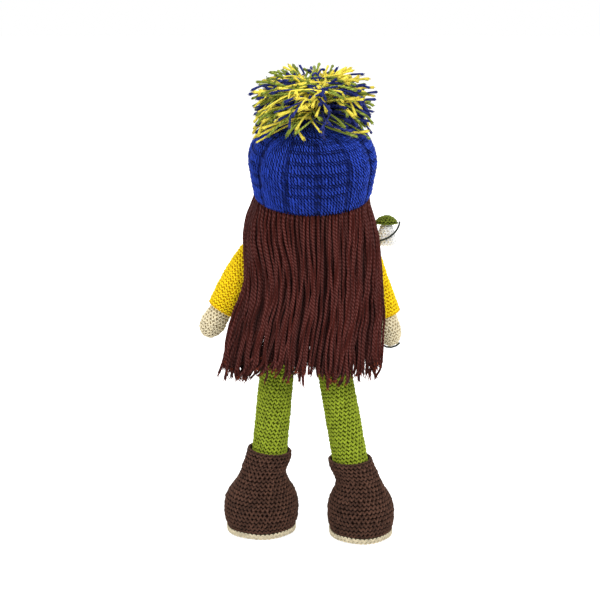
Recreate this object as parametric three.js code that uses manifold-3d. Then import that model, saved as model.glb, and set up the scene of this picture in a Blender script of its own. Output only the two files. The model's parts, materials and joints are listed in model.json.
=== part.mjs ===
// A crocheted, stuffed doll: blue beret with a yarn pompom, long yarn hair, yellow sweater, green
// trousers and brown boots with pale soles, and a white flower on a wire stem in the right hand.
// Millimetres, +Z up. The doll faces -Y, and +X is its own left. The floor is at zero height.
import * as THREE from "three";
import { mergeVertices } from "three/addons/utils/BufferGeometryUtils.js";
import Module from "manifold-3d";

const wasm = await Module();
wasm.setup();

// Fits and fabric
const GAP = 0.35; // kept between pieces that touch
const SKIN_WALL = 2.2; // crocheted skin of the head, arms and hands
const SWEATER_WALL = 2.3;
const TROUSER_WALL = 2.2;
const BOOT_WALL = 2.4;
const HAT_WALL = 2.6;

// Boots, measured on the floor from the ankle
const LEFT_BOOT_HEIGHT = 60;
const RIGHT_BOOT_HEIGHT = 55.5;
const SOLE_THICKNESS = 3;
const SOLE_MARGIN = 0.8; // the sole stands proud of the upper
const INSOLE_THICKNESS = 1.6;
const TOE_REACH = 43;
const HEEL_REACH = 25;
const LEFT_FOOT_WIDTH = 54;
const RIGHT_FOOT_WIDTH = 48;
const LEFT_FOOT_OUT = 5; // the foot sits outward of its ankle
const RIGHT_FOOT_OUT = 6.5;
const SHAFT_EASE = 0.4; // slack between the leg and the boot's shaft

// Legs
const ANKLE_HEIGHT = 47; // the leg's lower end, inside the boot
const LEG_RISE = 84; // from the leg's lower end to the hip
const LEG_TOP_RADIUS = 12.1;
const CALF_RADIUS = 12.5;
const HIP_SPREAD = 18.5; // from the middle to each hip
const LEFT_LEG_OUT = 7.9; // how far the ankle stands outward of the hip
const RIGHT_LEG_OUT = 15;
const RIGHT_LEG_BACK = 8.5;

// Body
const HIP_SHIFT = 4.9; // the hips stand to the doll's left of its head
const NECK_SHIFT = 1.2; // and so does the top of the body, a little
const BODY_LENGTH = 68.5;
const BODY_WIDTH = 52;
const BODY_DEPTH = 42;
const TROUSER_RISE = 15; // the trousers' waist above the seat
const SWEATER_HEM_RISE = 5.5; // the sweater's hem above the seat
const SHOULDER_DROP = 10.2; // the arm's centre below the top of the body
const NECK_ROLL_RADIUS = 8.5;
const NECK_ROLL_LENGTH = 38;

// Head and face
const HEAD_WIDTH = 67;
const HEAD_DEPTH = 64;
const HEAD_HEIGHT = 68;
const HEAD_SINK = 4.2; // the head settles into the neckline
const EYE_RADIUS = 4.1;
const EYE_HEIGHT = 3;
const SHANK_RADIUS = 1.8;
const SHANK_LENGTH = 7;
const WASHER_RADIUS = 4.6;
const WASHER_THICKNESS = 1.2;
const WASHER_SETBACK = 0.9; // room for the curve of the skin in front of the washer
const NOSE_WIDTH = 6.4;
const NOSE_HEIGHT = 5;
const NOSE_DEPTH = 5.4;
const FACE_YARN = 1.2;

// Arms
const SLEEVE_LENGTH = 45.5;
const SLEEVE_RADIUS = 12;
const HAND_LENGTH = 23.5; // from the sleeve's hem to the fingertips
const HAND_TIP = 11.5; // from the widest part of the hand to its tip
const HAND_RADIUS = 9.2;
const SHOULDER_FLAT = 0.9; // depth of the flat where the sleeve is sewn to the body
const ARM_TOP_SETBACK = 3; // the arm's open end below the shoulder

// Hat and pompom, in the tilted frame of the hat
const HAT_HEIGHT = 51.5;
const HAT_RADIUS = 45;
const HAT_BRIM_LIFT = 1.5; // the brim above the middle of the head
const RIB_DEPTH = 1.8;
const POMPOM_RADIUS = 40;
const POMPOM_RISE = 34.5; // the pompom's top above the hat's crown
const POMPOM_DROOP = 9; // how far its strands hang below the crown
const TIE_RADIUS = 1.3;
const TIE_DEPTH = 14; // how far the tie runs up into the pompom
const KNOT_RADIUS = 3.6;
const KNOT_HEIGHT = 3;

// Hair
const CAP_THICKNESS = 2.2; // hair under the hat
const LOCK_THICKNESS = 2.6; // fringe and front locks
const LOCK_LENGTH = 25; // below the middle of the head
const FRINGE_WIDTH = 38;
const FRINGE_HEIGHT = 3.4; // the fringe's lower edge above the middle of the head
const LOCK_BACK_LIMIT = 7; // the locks stay this far in front of the head's centre
const HAIR_LENGTH = 122.5; // from the middle of the head
const HAIR_THICKNESS = 7;
const HAIR_PROUD = 5.5; // the side hair stands out from the head
const HAIR_END_SPREAD = 55.2; // half the width of the hair at its ends
const HAIR_TEMPLE = -4; // the front edge of the side hair at the head
const HAIR_SIDE_ROOM = 10; // its front edge at the ends lies this far behind the sleeves
const HAIR_BACK_ROOM = 11; // and its back this far behind the body
const HAIR_DRIFT = 7; // the ends drift to the doll's left
const HAIR_RAGGED = 3; // how uneven the cut ends are

// Flower
const STEM_RADIUS = 0.7;
const STEM_BOW = 12; // the stem bows towards the body
const BLOOM_RADIUS = 8;
const BLOOM_LENGTH = 14;
const BLOOM_WALL = 1.6;
const CALYX_LENGTH = 17;
const CALYX_DEPTH = 14;
const CALYX_HEIGHT = 6.2;
const STAMEN_RADIUS = 2.4;
const STAMEN_LENGTH = 5;
const BLOOM_OUT = 53; // the bloom's centre, from the middle of the head
const BLOOM_FORWARD = 33;
const BLOOM_DROP = 24.5; // the calyx's underside below the middle of the head

// Angles in degrees
const LEFT_ARM_ANGLE = 31.7;
const RIGHT_ARM_ANGLE = 18.8;
const HAT_TILT = 12;
const EYE_TURN = 22;
const EYE_LIFT = -9;
const NOSE_LIFT = -17;
const MOUTH_LIFT = -29;
const MOUTH_TURN = 10;
const MOUTH_CURVE = 3;
const BROW_LIFT = 1;
const BROW_TURN = 8;
const BROW_CURVE = -1.5;
const HAIR_PARTING_ANGLE = 30; // the hair at the back is in three panels, parted this far from the middle
const HAIR_SIDE_ANGLE = 90;
const RIB_TURN = 4.5; // the rib seam nearest the back's middle

// Counts
const ROUND_SIDES = 20;
const LIMB_SIDES = 16;
const SMALL_SIDES = 12;
const YARN_SIDES = 8;
const YARN_STEPS = 8;
const STEM_STEPS = 34;
const DOME_STEPS = 3;
const HEAD_ROWS = 11;
const HAT_RIBS = 12;
const POINTS_PER_RIB = 2;
const HAIR_COLUMNS = 7;
const HAIR_ROWS = 12;
const HAIR_WAVES = 7;
const PETALS = 6;

// Heights that follow from the sizes above
const hipHeight = ANKLE_HEIGHT + LEG_RISE;
const seatHeight = hipHeight + LEG_TOP_RADIUS + GAP;
const neckHeight = seatHeight + BODY_LENGTH;
const shoulderHeight = neckHeight - SHOULDER_DROP;
const headHeight = neckHeight - HEAD_SINK + HEAD_HEIGHT / 2;
const soleTop = SOLE_THICKNESS + GAP;
const crownHeight = HAT_BRIM_LIFT + HAT_HEIGHT; // in the hat's frame
const shaftRadius = CALF_RADIUS + SHAFT_EASE + GAP + BOOT_WALL;
const armLength = SLEEVE_LENGTH + HAND_LENGTH;
const headCentre = new THREE.Vector3(0, 0, headHeight);
const headSize = new THREE.Vector3(HEAD_WIDTH, HEAD_DEPTH, HEAD_HEIGHT).multiplyScalar(0.5);
const FAR = 2 * headHeight; // reaches past the whole doll, for cutting planes

const UP = new THREE.Vector3(0, 0, 1);
const DOWN = new THREE.Vector3(0, 0, -1);
const FRONT = new THREE.Vector3(0, -1, 0);
const LEFT = new THREE.Vector3(1, 0, 0);
const RIGHT = new THREE.Vector3(-1, 0, 0);

const COLOURS = {
  blue: 0x1f3fae,
  hair: 0x4a1e16,
  yellow: 0xf4c40c,
  beige: 0xcdbb92,
  green: 0x7d9a28,
  brown: 0x46302a,
  cream: 0xe3d9bc,
  white: 0xf2efe6,
  black: 0x121214,
  filling: 0xf4f4f0,
  card: 0xb79b70,
  rose: 0xb5604f,
  lime: 0xcbc63f,
};

const doll = new THREE.Group();

function material(colour, roughness = 0.95) {
  return new THREE.MeshStandardMaterial({ color: COLOURS[colour], roughness, metalness: 0 });
}

function piece(name, geometry, colour, parent = doll, roughness = 0.95) {
  const mesh = new THREE.Mesh(geometry, material(colour, roughness));
  mesh.name = name;
  parent.add(mesh);
  return mesh;
}

// Geometry to solid and back, in the doll's frame.
function solidOf(mesh) {
  mesh.updateWorldMatrix(true, false);
  const bare = new THREE.BufferGeometry();
  const source = mesh.geometry.index ? mesh.geometry.toNonIndexed() : mesh.geometry;
  bare.setAttribute("position", source.getAttribute("position").clone());
  bare.applyMatrix4(mesh.matrixWorld);
  const merged = mergeVertices(bare);
  return new wasm.Manifold(
    new wasm.Mesh({
      numProp: 3,
      vertProperties: merged.getAttribute("position").array,
      triVerts: new Uint32Array(merged.index.array),
    }),
  );
}

function setSolid(mesh, solid) {
  const { vertProperties, triVerts } = solid.getMesh();
  const geometry = new THREE.BufferGeometry();
  geometry.setAttribute("position", new THREE.BufferAttribute(vertProperties, 3));
  geometry.setIndex(new THREE.BufferAttribute(triVerts, 1));
  geometry.applyMatrix4(mesh.matrixWorld.clone().invert());
  geometry.computeVertexNormals();
  mesh.geometry = geometry;
}

function carve(mesh, ...cutters) {
  let solid = solidOf(mesh);
  for (const cutter of cutters) solid = solid.subtract(solidOf(cutter));
  setSolid(mesh, solid);
}

function keep(mesh, ...limits) {
  let solid = solidOf(mesh);
  for (const limit of limits) solid = solid.intersect(solidOf(limit));
  setSolid(mesh, solid);
}

// A shape that only cuts: it is placed like a piece, but never shown.
function cutter(geometry, frame = null) {
  const mesh = new THREE.Mesh(geometry);
  if (frame) {
    frame.updateWorldMatrix(true, false);
    frame.matrixWorld.decompose(mesh.position, mesh.quaternion, mesh.scale);
  }
  return mesh;
}

// A box with one face square to an axis of the frame, at a distance along it, and reaching on.
function halfSpace(way, distance, frame) {
  const mesh = cutter(new THREE.BoxGeometry(FAR, FAR, FAR), frame);
  mesh.translateOnAxis(way, distance + FAR / 2);
  return mesh;
}

// Profiles are lists of [radius, height], upwards, turned about the Z axis.
function turned(profile, sides) {
  const points = profile.map(([radius, height]) => new THREE.Vector2(radius, height));
  return new THREE.LatheGeometry(points, sides).rotateX(Math.PI / 2);
}

function rod(radius, bottom, top, sides = SMALL_SIDES) {
  return turned([[0, bottom], [radius, bottom], [radius, top], [0, top]], sides);
}

// Move a profile outwards, or inwards for a negative distance. Points on the axis stay on it.
function offset(profile, distance) {
  return profile.map(([radius, height], i) => {
    if (radius === 0) return [0, i === 0 ? height - distance : height + distance];
    const before = profile[Math.max(i - 1, 0)];
    const after = profile[Math.min(i + 1, profile.length - 1)];
    const along = new THREE.Vector2(after[0] - before[0], after[1] - before[1]).normalize();
    return [radius + distance * along.y, height - distance * along.x];
  });
}

// A quarter round from the axis below to the side, or from the side to the axis above.
function domeBelow(radius, height, depth = radius) {
  return Array.from({ length: DOME_STEPS }, (_, i) => {
    const angle = (i / DOME_STEPS) * (Math.PI / 2);
    return [radius * Math.sin(angle), height - depth * Math.cos(angle)];
  });
}

function domeAbove(radius, height, rise = radius) {
  return domeBelow(radius, 0, rise)
    .reverse()
    .map(([r, h]) => [r, height - h]);
}

// A shell whose mouth is at the lower end of the profile, or at its upper end.
function shellOpenBelow(outer, wall) {
  const inner = offset(outer, -wall);
  inner[0] = [outer[0][0] - wall, outer[0][1]];
  return [...inner.reverse(), ...outer];
}

function shellOpenAbove(outer, wall) {
  const inner = offset(outer, -wall);
  const last = outer.length - 1;
  inner[last] = [outer[last][0] - wall, outer[last][1]];
  return [...outer, ...inner.reverse()];
}

// Rings of points joined into a skin. A ring of one point is a pole, and a loop of rings closes
// on itself.
function loft(rings, loop = false) {
  const corners = [];
  const add = (...points) => points.forEach((point) => corners.push(point.x, point.y, point.z));
  const at = (ring, i) => ring[i % ring.length];
  const count = Math.max(...rings.map((ring) => ring.length));
  const spans = loop ? rings.length : rings.length - 1;
  for (let k = 0; k < spans; k++) {
    const low = rings[k];
    const high = rings[(k + 1) % rings.length];
    for (let i = 0; i < count; i++) {
      if (low.length > 1) add(at(low, i), at(low, i + 1), at(high, i + 1));
      if (high.length > 1) add(at(low, i), at(high, i + 1), at(high, i));
    }
  }
  const geometry = new THREE.BufferGeometry();
  geometry.setAttribute("position", new THREE.Float32BufferAttribute(corners, 3));
  geometry.computeVertexNormals();
  return geometry;
}

function middle(ring) {
  const sum = ring.reduce((total, point) => total.add(point), new THREE.Vector3());
  return [sum.divideScalar(ring.length)];
}

function solidLoft(rings) {
  return loft([middle(rings[0]), ...rings, middle(rings[rings.length - 1])]);
}

// An oval ring whose front and back reach differently from its centre.
function oval({ x, y, z, side, front, back }, sides = ROUND_SIDES) {
  return Array.from({ length: sides }, (_, i) => {
    const angle = (i / sides) * 2 * Math.PI;
    const reach = Math.sin(angle) < 0 ? front : back;
    return new THREE.Vector3(x + side * Math.cos(angle), y + reach * Math.sin(angle), z);
  });
}

function grown(size, by) {
  return { ...size, side: size.side + by, front: size.front + by, back: size.back + by };
}

function mix(low, high, share) {
  return low + (high - low) * share;
}

// Tables of rows, whose first number is a share along the piece: read at any share, and the
// shares that a stretch of the piece needs.
function read(table, share) {
  const top = Math.max(1, table.findIndex((row) => row[0] >= share));
  const [low, high] = [table[top - 1], table[top]];
  const part = (share - low[0]) / (high[0] - low[0]);
  return low.map((value, i) => mix(value, high[i], part));
}

function stretch(table, start, end) {
  const between = table.map((row) => row[0]).filter((share) => share > start && share < end);
  return [start, ...between, end];
}

function tube(points, radius, steps) {
  const outline = new THREE.Shape().absarc(0, 0, radius, 0, 2 * Math.PI);
  const curve = new THREE.CatmullRomCurve3(points);
  return new THREE.ExtrudeGeometry(outline, {
    steps,
    curveSegments: YARN_SIDES / 2,
    extrudePath: curve,
    bevelEnabled: false,
  });
}

// Point a group's -Z from one place to another.
function aimed(from, to, parent = doll) {
  const group = new THREE.Group();
  group.position.copy(from);
  group.quaternion.setFromUnitVectors(DOWN, to.clone().sub(from).normalize());
  parent.add(group);
  return group;
}

function ellipsoid(size, grow = 0, sides = ROUND_SIDES, rows = HEAD_ROWS) {
  const ball = new THREE.SphereGeometry(1, sides, rows).rotateX(Math.PI / 2);
  return ball.scale(size.x + grow, size.y + grow, size.z + grow);
}

function headShape(grow) {
  const mesh = cutter(ellipsoid(headSize, grow));
  mesh.position.copy(headCentre);
  return mesh;
}

// A place on the head, by turn to the doll's left and lift above the head's middle.
function onHead(turnDegrees, liftDegrees, proud = 0) {
  const turn = THREE.MathUtils.degToRad(turnDegrees);
  const lift = THREE.MathUtils.degToRad(liftDegrees);
  const way = new THREE.Vector3(
    Math.sin(turn) * Math.cos(lift),
    -Math.cos(turn) * Math.cos(lift),
    Math.sin(lift),
  );
  const reach = 1 / way.clone().divide(headSize).length();
  const local = way.clone().multiplyScalar(reach);
  const normal = local.clone().divide(headSize).divide(headSize).normalize();
  const point = local.clone().add(headCentre).addScaledVector(normal, proud);
  return { point, normal };
}

// Body: rings from the seat to the neckline.
// Columns: height, half width, front and back reach, each as a share.
const BODY_SHARES = [
  [0, 0.86, 0.72],
  [0.04, 0.97, 0.9],
  [0.12, 1, 0.97],
  [0.24, 0.985, 1],
  [0.42, 0.955, 0.97],
  [0.62, 0.915, 0.88],
  [0.78, 0.885, 0.79],
  [0.85, 0.865, 0.73],
  [0.93, 0.74, 0.63],
  [0.975, 0.57, 0.56],
  [1, 0.47, 0.53],
];

function bodyAxis(share) {
  return mix(HIP_SHIFT, NECK_SHIFT, share);
}

function bodyHalfWidth(share) {
  return (read(BODY_SHARES, share)[1] * BODY_WIDTH) / 2;
}

function bodyRing(share, grow) {
  const depth = (read(BODY_SHARES, share)[2] * BODY_DEPTH) / 2;
  const ring = {
    x: bodyAxis(share),
    y: 0,
    z: seatHeight + share * BODY_LENGTH,
    side: bodyHalfWidth(share),
    front: depth,
    back: depth,
  };
  return oval(grown(ring, grow));
}

function bodyRings(start, end, grow) {
  return stretch(BODY_SHARES, start, end).map((share) => bodyRing(share, grow));
}

function neckSpace() {
  const reach = NECK_ROLL_LENGTH / 2 + GAP;
  const space = cutter(rod(NECK_ROLL_RADIUS + GAP, -reach, reach));
  space.position.set(NECK_SHIFT / 2, 0, neckHeight);
  return space;
}

function buildBody() {
  const floorShare = TROUSER_WALL / BODY_LENGTH;
  const waistShare = TROUSER_RISE / BODY_LENGTH;
  const hemShare = SWEATER_HEM_RISE / BODY_LENGTH;
  const gapShare = GAP / BODY_LENGTH;

  const seatOuter = bodyRings(0, waistShare, 0);
  const seatInner = bodyRings(floorShare, waistShare, -TROUSER_WALL).reverse();
  const seatRings = [middle(seatOuter[0]), ...seatOuter, ...seatInner, middle(seatInner.at(-1))];
  piece("trousers_seat", loft(seatRings), "green");

  const sweaterOuter = bodyRings(hemShare, 1, GAP + SWEATER_WALL);
  const sweaterInner = bodyRings(hemShare, 1, GAP).reverse();
  const sweater = piece("sweater", loft([...sweaterOuter, ...sweaterInner], true), "yellow");
  carve(sweater, headShape(GAP));

  const filling = [
    ...bodyRings(floorShare + gapShare, waistShare + gapShare, -TROUSER_WALL - GAP),
    ...bodyRings(waistShare + gapShare, 1 - gapShare, 0),
  ];
  carve(piece("body_filling", solidLoft(filling), "filling"), headShape(GAP), neckSpace());
}

// Head: a hollow skin, its filling, and the roll that stiffens the neck.
function buildHead() {
  const skin = piece("head_skin", ellipsoid(headSize), "beige");
  skin.position.copy(headCentre);
  carve(skin, headShape(-SKIN_WALL), neckSpace());
  const filling = piece("head_filling", ellipsoid(headSize, -SKIN_WALL - GAP), "filling");
  filling.position.copy(headCentre);
  carve(filling, neckSpace());
  const roll = rod(NECK_ROLL_RADIUS, -NECK_ROLL_LENGTH / 2, NECK_ROLL_LENGTH / 2);
  piece("neck_roll", roll, "card").position.set(NECK_SHIFT / 2, 0, neckHeight);
  return { skin, filling };
}

// Face: eyes on shanks that pass through the skin into washers, a nose, and sewn yarn.
function buildEye(side, turn, head) {
  const { point, normal } = onHead(turn, EYE_LIFT);
  const frame = aimed(point, point.clone().sub(normal));
  const eye = [
    [0, -SHANK_LENGTH],
    [SHANK_RADIUS, -SHANK_LENGTH],
    [SHANK_RADIUS, GAP],
    [EYE_RADIUS, GAP],
    ...domeAbove(EYE_RADIUS, GAP, EYE_HEIGHT),
  ];
  piece(`${side}_eye`, turned(eye, SMALL_SIDES), "black", frame, 0.15);

  const top = -SKIN_WALL - GAP - WASHER_SETBACK;
  const hole = SHANK_RADIUS + GAP;
  const washer = [
    [hole, top - WASHER_THICKNESS],
    [WASHER_RADIUS, top - WASHER_THICKNESS],
    [WASHER_RADIUS, top],
    [hole, top],
    [hole, top - WASHER_THICKNESS],
  ];
  piece(`${side}_eye_washer`, turned(washer, SMALL_SIDES), "white", frame, 0.4);

  carve(head.skin, cutter(rod(hole, -SHANK_LENGTH, EYE_HEIGHT), frame));
  const pocket = rod(WASHER_RADIUS + GAP, -SHANK_LENGTH - GAP, EYE_HEIGHT);
  carve(head.filling, cutter(pocket, frame));
}

// A line of yarn on the head. It curves up at its ends, or down for a negative curve.
function buildFaceYarn(name, turn, halfTurn, lift, curve, colour) {
  const places = Array.from({ length: YARN_STEPS + 1 }, (_, i) => {
    const part = (2 * i) / YARN_STEPS - 1;
    return onHead(turn + part * halfTurn, lift + curve * part * part, GAP + FACE_YARN / 2).point;
  });
  piece(name, tube(places, FACE_YARN / 2, YARN_STEPS), colour);
}

function buildFace(head) {
  buildEye("left", EYE_TURN, head);
  buildEye("right", -EYE_TURN, head);
  const noseSize = new THREE.Vector3(NOSE_WIDTH, NOSE_DEPTH, NOSE_HEIGHT).multiplyScalar(0.5);
  const nose = piece("nose", ellipsoid(noseSize, 0, SMALL_SIDES, DOME_STEPS * 2), "beige");
  nose.position.copy(onHead(0, NOSE_LIFT).point);
  carve(nose, headShape(GAP));
  buildFaceYarn("mouth", 0, MOUTH_TURN, MOUTH_LIFT, MOUTH_CURVE, "rose");
  buildFaceYarn("left_brow", EYE_TURN, BROW_TURN, BROW_LIFT, BROW_CURVE, "hair");
  buildFaceYarn("right_brow", -EYE_TURN, BROW_TURN, BROW_LIFT, BROW_CURVE, "hair");
}

// Hat, in a frame at the middle of the head that leans back.
const hatFrame = new THREE.Group();
hatFrame.position.copy(headCentre);
hatFrame.rotation.x = -THREE.MathUtils.degToRad(HAT_TILT);
doll.add(hatFrame);

// From the brim to the widest row: rise, and the way from the brim's radius to the full one.
const HAT_SIDE_SHARES = [
  [0, 0],
  [0.05, 0.27],
  [0.13, 0.43],
  [0.22, 0.6],
  [0.32, 0.77],
  [0.42, 0.93],
  [0.515, 1],
];

// From there to the crown: rise, and the radius.
const HAT_CROWN_SHARES = [
  [0.59, 0.987],
  [0.67, 0.956],
  [0.75, 0.907],
  [0.825, 0.836],
  [0.885, 0.733],
  [0.94, 0.578],
  [0.98, 0.378],
  [1, 0],
];
const RIB_SHARE = 0.6; // how sharp the seams between the ribs are

function hatProfile() {
  const brim = HEAD_WIDTH / 2 + GAP + CAP_THICKNESS + GAP + HAT_WALL;
  const height = (rise) => HAT_BRIM_LIFT + rise * HAT_HEIGHT;
  const side = HAT_SIDE_SHARES.map(([rise, out]) => [mix(brim, HAT_RADIUS, out), height(rise)]);
  const crown = HAT_CROWN_SHARES.map(([rise, out]) => [out * HAT_RADIUS, height(rise)]);
  return [...side, ...crown];
}

// One ring of the hat, drawn in at the seams between its ribs.
function hatRing([radius, height]) {
  if (radius === 0) return [new THREE.Vector3(0, 0, height)];
  const fade = Math.max(0, Math.sin((Math.PI * (height - HAT_BRIM_LIFT)) / HAT_HEIGHT));
  const sides = HAT_RIBS * POINTS_PER_RIB;
  return Array.from({ length: sides }, (_, i) => {
    const angle = (i / sides) * 2 * Math.PI;
    const seam = 1 - Math.abs(Math.sin((HAT_RIBS * angle) / 2)) ** RIB_SHARE;
    const turn = angle + Math.PI / 2 + THREE.MathUtils.degToRad(RIB_TURN);
    const reach = radius - RIB_DEPTH * seam * fade;
    return new THREE.Vector3(reach * Math.cos(turn), reach * Math.sin(turn), height);
  });
}

// Pompom: radius and height, from its lowest strands to its top.
const POMPOM_SHARES = [
  [0.962, 0],
  [0.987, 0.132],
  [1, 0.308],
  [1, 0.484],
  [0.95, 0.637],
  [0.838, 0.791],
  [0.675, 0.89],
  [0.375, 0.967],
  [0, 1],
];
const KNOT_WAIST_SHARE = 0.75;

function buildHat() {
  const outer = hatProfile();
  const hat = piece("hat", loft(shellOpenBelow(outer, HAT_WALL).map(hatRing)), "blue", hatFrame);
  const hole = TIE_RADIUS + GAP;
  const tieTop = crownHeight + TIE_DEPTH;
  const tieSpace = cutter(rod(hole, HAT_BRIM_LIFT, tieTop + GAP), hatFrame);
  carve(hat, tieSpace);

  const low = crownHeight - POMPOM_DROOP;
  const high = crownHeight + POMPOM_RISE;
  const side = POMPOM_SHARES.map(([out, up]) => [out * POMPOM_RADIUS, mix(low, high, up)]);
  const pompom = piece("pompom", turned([[0, low], ...side], ROUND_SIDES), "lime", hatFrame);
  const room = offset(outer, GAP);
  const hatSpace = cutter(loft([[0, room[0][1]], ...room].map(hatRing)), hatFrame);
  carve(pompom, hatSpace, tieSpace);

  const knotTop = crownHeight - HAT_WALL - GAP;
  const tie = [
    [0, knotTop - KNOT_HEIGHT],
    [KNOT_RADIUS * KNOT_WAIST_SHARE, knotTop - KNOT_HEIGHT],
    [KNOT_RADIUS, knotTop - KNOT_HEIGHT / 2],
    [KNOT_RADIUS * KNOT_WAIST_SHARE, knotTop],
    [TIE_RADIUS, knotTop],
    [TIE_RADIUS, tieTop],
    [0, tieTop],
  ];
  piece("pompom_tie", turned(tie, SMALL_SIDES), "yellow", hatFrame);
}

// Hair on the head: a cap under the hat, a fringe and two front locks.
function hairShell(name, thickness) {
  const shell = piece(name, ellipsoid(headSize, GAP + thickness), "hair");
  shell.position.copy(headCentre);
  carve(shell, headShape(GAP));
  return shell;
}

function buildHeadHair() {
  const headFrame = new THREE.Group();
  headFrame.position.copy(headCentre);
  const belowBrim = halfSpace(DOWN, GAP - HAT_BRIM_LIFT, hatFrame);
  const front = halfSpace(FRONT, LOCK_BACK_LIMIT, headFrame);
  const halfFringe = FRINGE_WIDTH / 2;

  keep(hairShell("hair_cap", CAP_THICKNESS), halfSpace(UP, HAT_BRIM_LIFT, hatFrame));

  const fringe = hairShell("hair_fringe", LOCK_THICKNESS);
  keep(fringe, front, belowBrim, halfSpace(UP, FRINGE_HEIGHT, headFrame));
  const beside = [LEFT, RIGHT].map((way) => halfSpace(way, halfFringe, headFrame));
  carve(fringe, ...beside);

  const lowEnd = halfSpace(UP, -LOCK_LENGTH, headFrame);
  const leftSide = halfSpace(LEFT, halfFringe + GAP, headFrame);
  const rightSide = halfSpace(RIGHT, halfFringe + GAP, headFrame);
  keep(hairShell("left_front_lock", LOCK_THICKNESS), front, belowBrim, lowEnd, leftSide);
  keep(hairShell("right_front_lock", LOCK_THICKNESS), front, belowBrim, lowEnd, rightSide);
}

// Hair down the back. Columns: place down the hair, which is 0 at the middle of the head, 1 at
// the shoulders and 2 at the ends; then the ways from the top's spread, front edge and back to
// the ends' ones; and the drift.
const HAIR_SHARES = [
  [-0.206, 0, 0, 0, 0],
  [-0.006, 0.012, 0, 0, 0],
  [0.169, 0.123, 0.038, 0, 0.143],
  [0.344, 0.278, 0.154, 0, 0.214],
  [0.544, 0.4, 0.308, 0, 0.186],
  [0.756, 0.494, 0.5, 0.071, 0.143],
  [0.969, 0.494, 0.692, 0.143, 0],
  [1.13, 0.494, 0.808, 0.357, -0.143],
  [1.308, 0.556, 0.885, 0.571, -0.114],
  [1.464, 0.741, 0.923, 0.671, 0.143],
  [1.619, 0.895, 0.962, 0.757, 0.514],
  [1.775, 0.975, 1, 0.857, 0.743],
  [1.919, 1, 1, 0.957, 1],
  [2, 1, 1, 1, 1],
];
const HAIR_TOP_SHARE = HAIR_SHARES[0][0];
const HAIR_END_THICKNESS_SHARE = 0.86;
const HALF_SHARE = 0.5; // of the panel's box, which is 1 wide, deep and high before it is shaped

function hairHeight(share) {
  if (share < 1) return mix(headHeight, shoulderHeight, share);
  return mix(shoulderHeight, headHeight - HAIR_LENGTH, share - 1);
}

function buildHairPanel(name, start, end) {
  const topSpread = HEAD_WIDTH / 2 + HAIR_PROUD;
  const topBack = HEAD_DEPTH / 2 + HAIR_THICKNESS;
  const geometry = new THREE.BoxGeometry(1, 1, 1, HAIR_COLUMNS, 1, HAIR_ROWS);
  const places = geometry.getAttribute("position");
  for (let i = 0; i < places.count; i++) {
    const across = places.getX(i) + HALF_SHARE;
    const inward = HALF_SHARE - places.getY(i);
    const share = mix(HAIR_TOP_SHARE, 2, HALF_SHARE - places.getZ(i));
    const [, wide, front, back, drift] = read(HAIR_SHARES, share);
    const thickness = HAIR_THICKNESS * mix(1, HAIR_END_THICKNESS_SHARE, share / 2);
    const spread = mix(topSpread, HAIR_END_SPREAD, wide);
    const edge = mix(HAIR_TEMPLE, SLEEVE_RADIUS + HAIR_SIDE_ROOM, front);
    const behind = mix(topBack, BODY_DEPTH / 2 + HAIR_BACK_ROOM, back);
    const turn = THREE.MathUtils.degToRad(mix(start, end, across));
    const space = (GAP / 2 / spread) * (1 - 2 * across);
    const angle = turn + space;
    const ragged = share < 2 ? 0 : HAIR_RAGGED * Math.sin(HAIR_WAVES * angle);
    places.setXYZ(
      i,
      HAIR_DRIFT * drift + (spread - inward * thickness) * Math.sin(angle),
      edge + (behind - inward * thickness - edge) * Math.cos(angle),
      hairHeight(share) + ragged,
    );
  }
  const aboveBrim = halfSpace(UP, HAT_BRIM_LIFT - GAP, hatFrame);
  carve(piece(name, geometry, "hair"), headShape(GAP), aboveBrim);
}

function buildBackHair() {
  buildHairPanel("hair_back_right", -HAIR_SIDE_ANGLE, -HAIR_PARTING_ANGLE);
  buildHairPanel("hair_back_middle", -HAIR_PARTING_ANGLE, HAIR_PARTING_ANGLE);
  buildHairPanel("hair_back_left", HAIR_PARTING_ANGLE, HAIR_SIDE_ANGLE);
}

// Arms hang from the shoulders. Columns: place down the sleeve, from its hem up, and radius.
const LEFT_SLEEVE_SHARES = [
  [1, 0.88],
  [0.75, 1],
  [0.4, 1.08],
  [0.15, 1.05],
];
const RIGHT_SLEEVE_SHARES = [
  [1, 1.03],
  [0.75, 1.02],
  [0.45, 0.98],
  [0.2, 1],
];
const WRIST_SHARE = 0.6;

function shoulder(side) {
  const flatRadius = Math.sqrt(SLEEVE_RADIUS ** 2 - (SLEEVE_RADIUS - SHOULDER_FLAT) ** 2);
  const lowShare = (shoulderHeight - flatRadius - seatHeight) / BODY_LENGTH;
  const bodySide = bodyHalfWidth(lowShare) + GAP + SWEATER_WALL;
  const flat = bodyAxis(lowShare) + side * (bodySide + GAP);
  const x = flat + side * (SLEEVE_RADIUS - SHOULDER_FLAT);
  return { flat, point: new THREE.Vector3(x, 0, shoulderHeight) };
}

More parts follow.
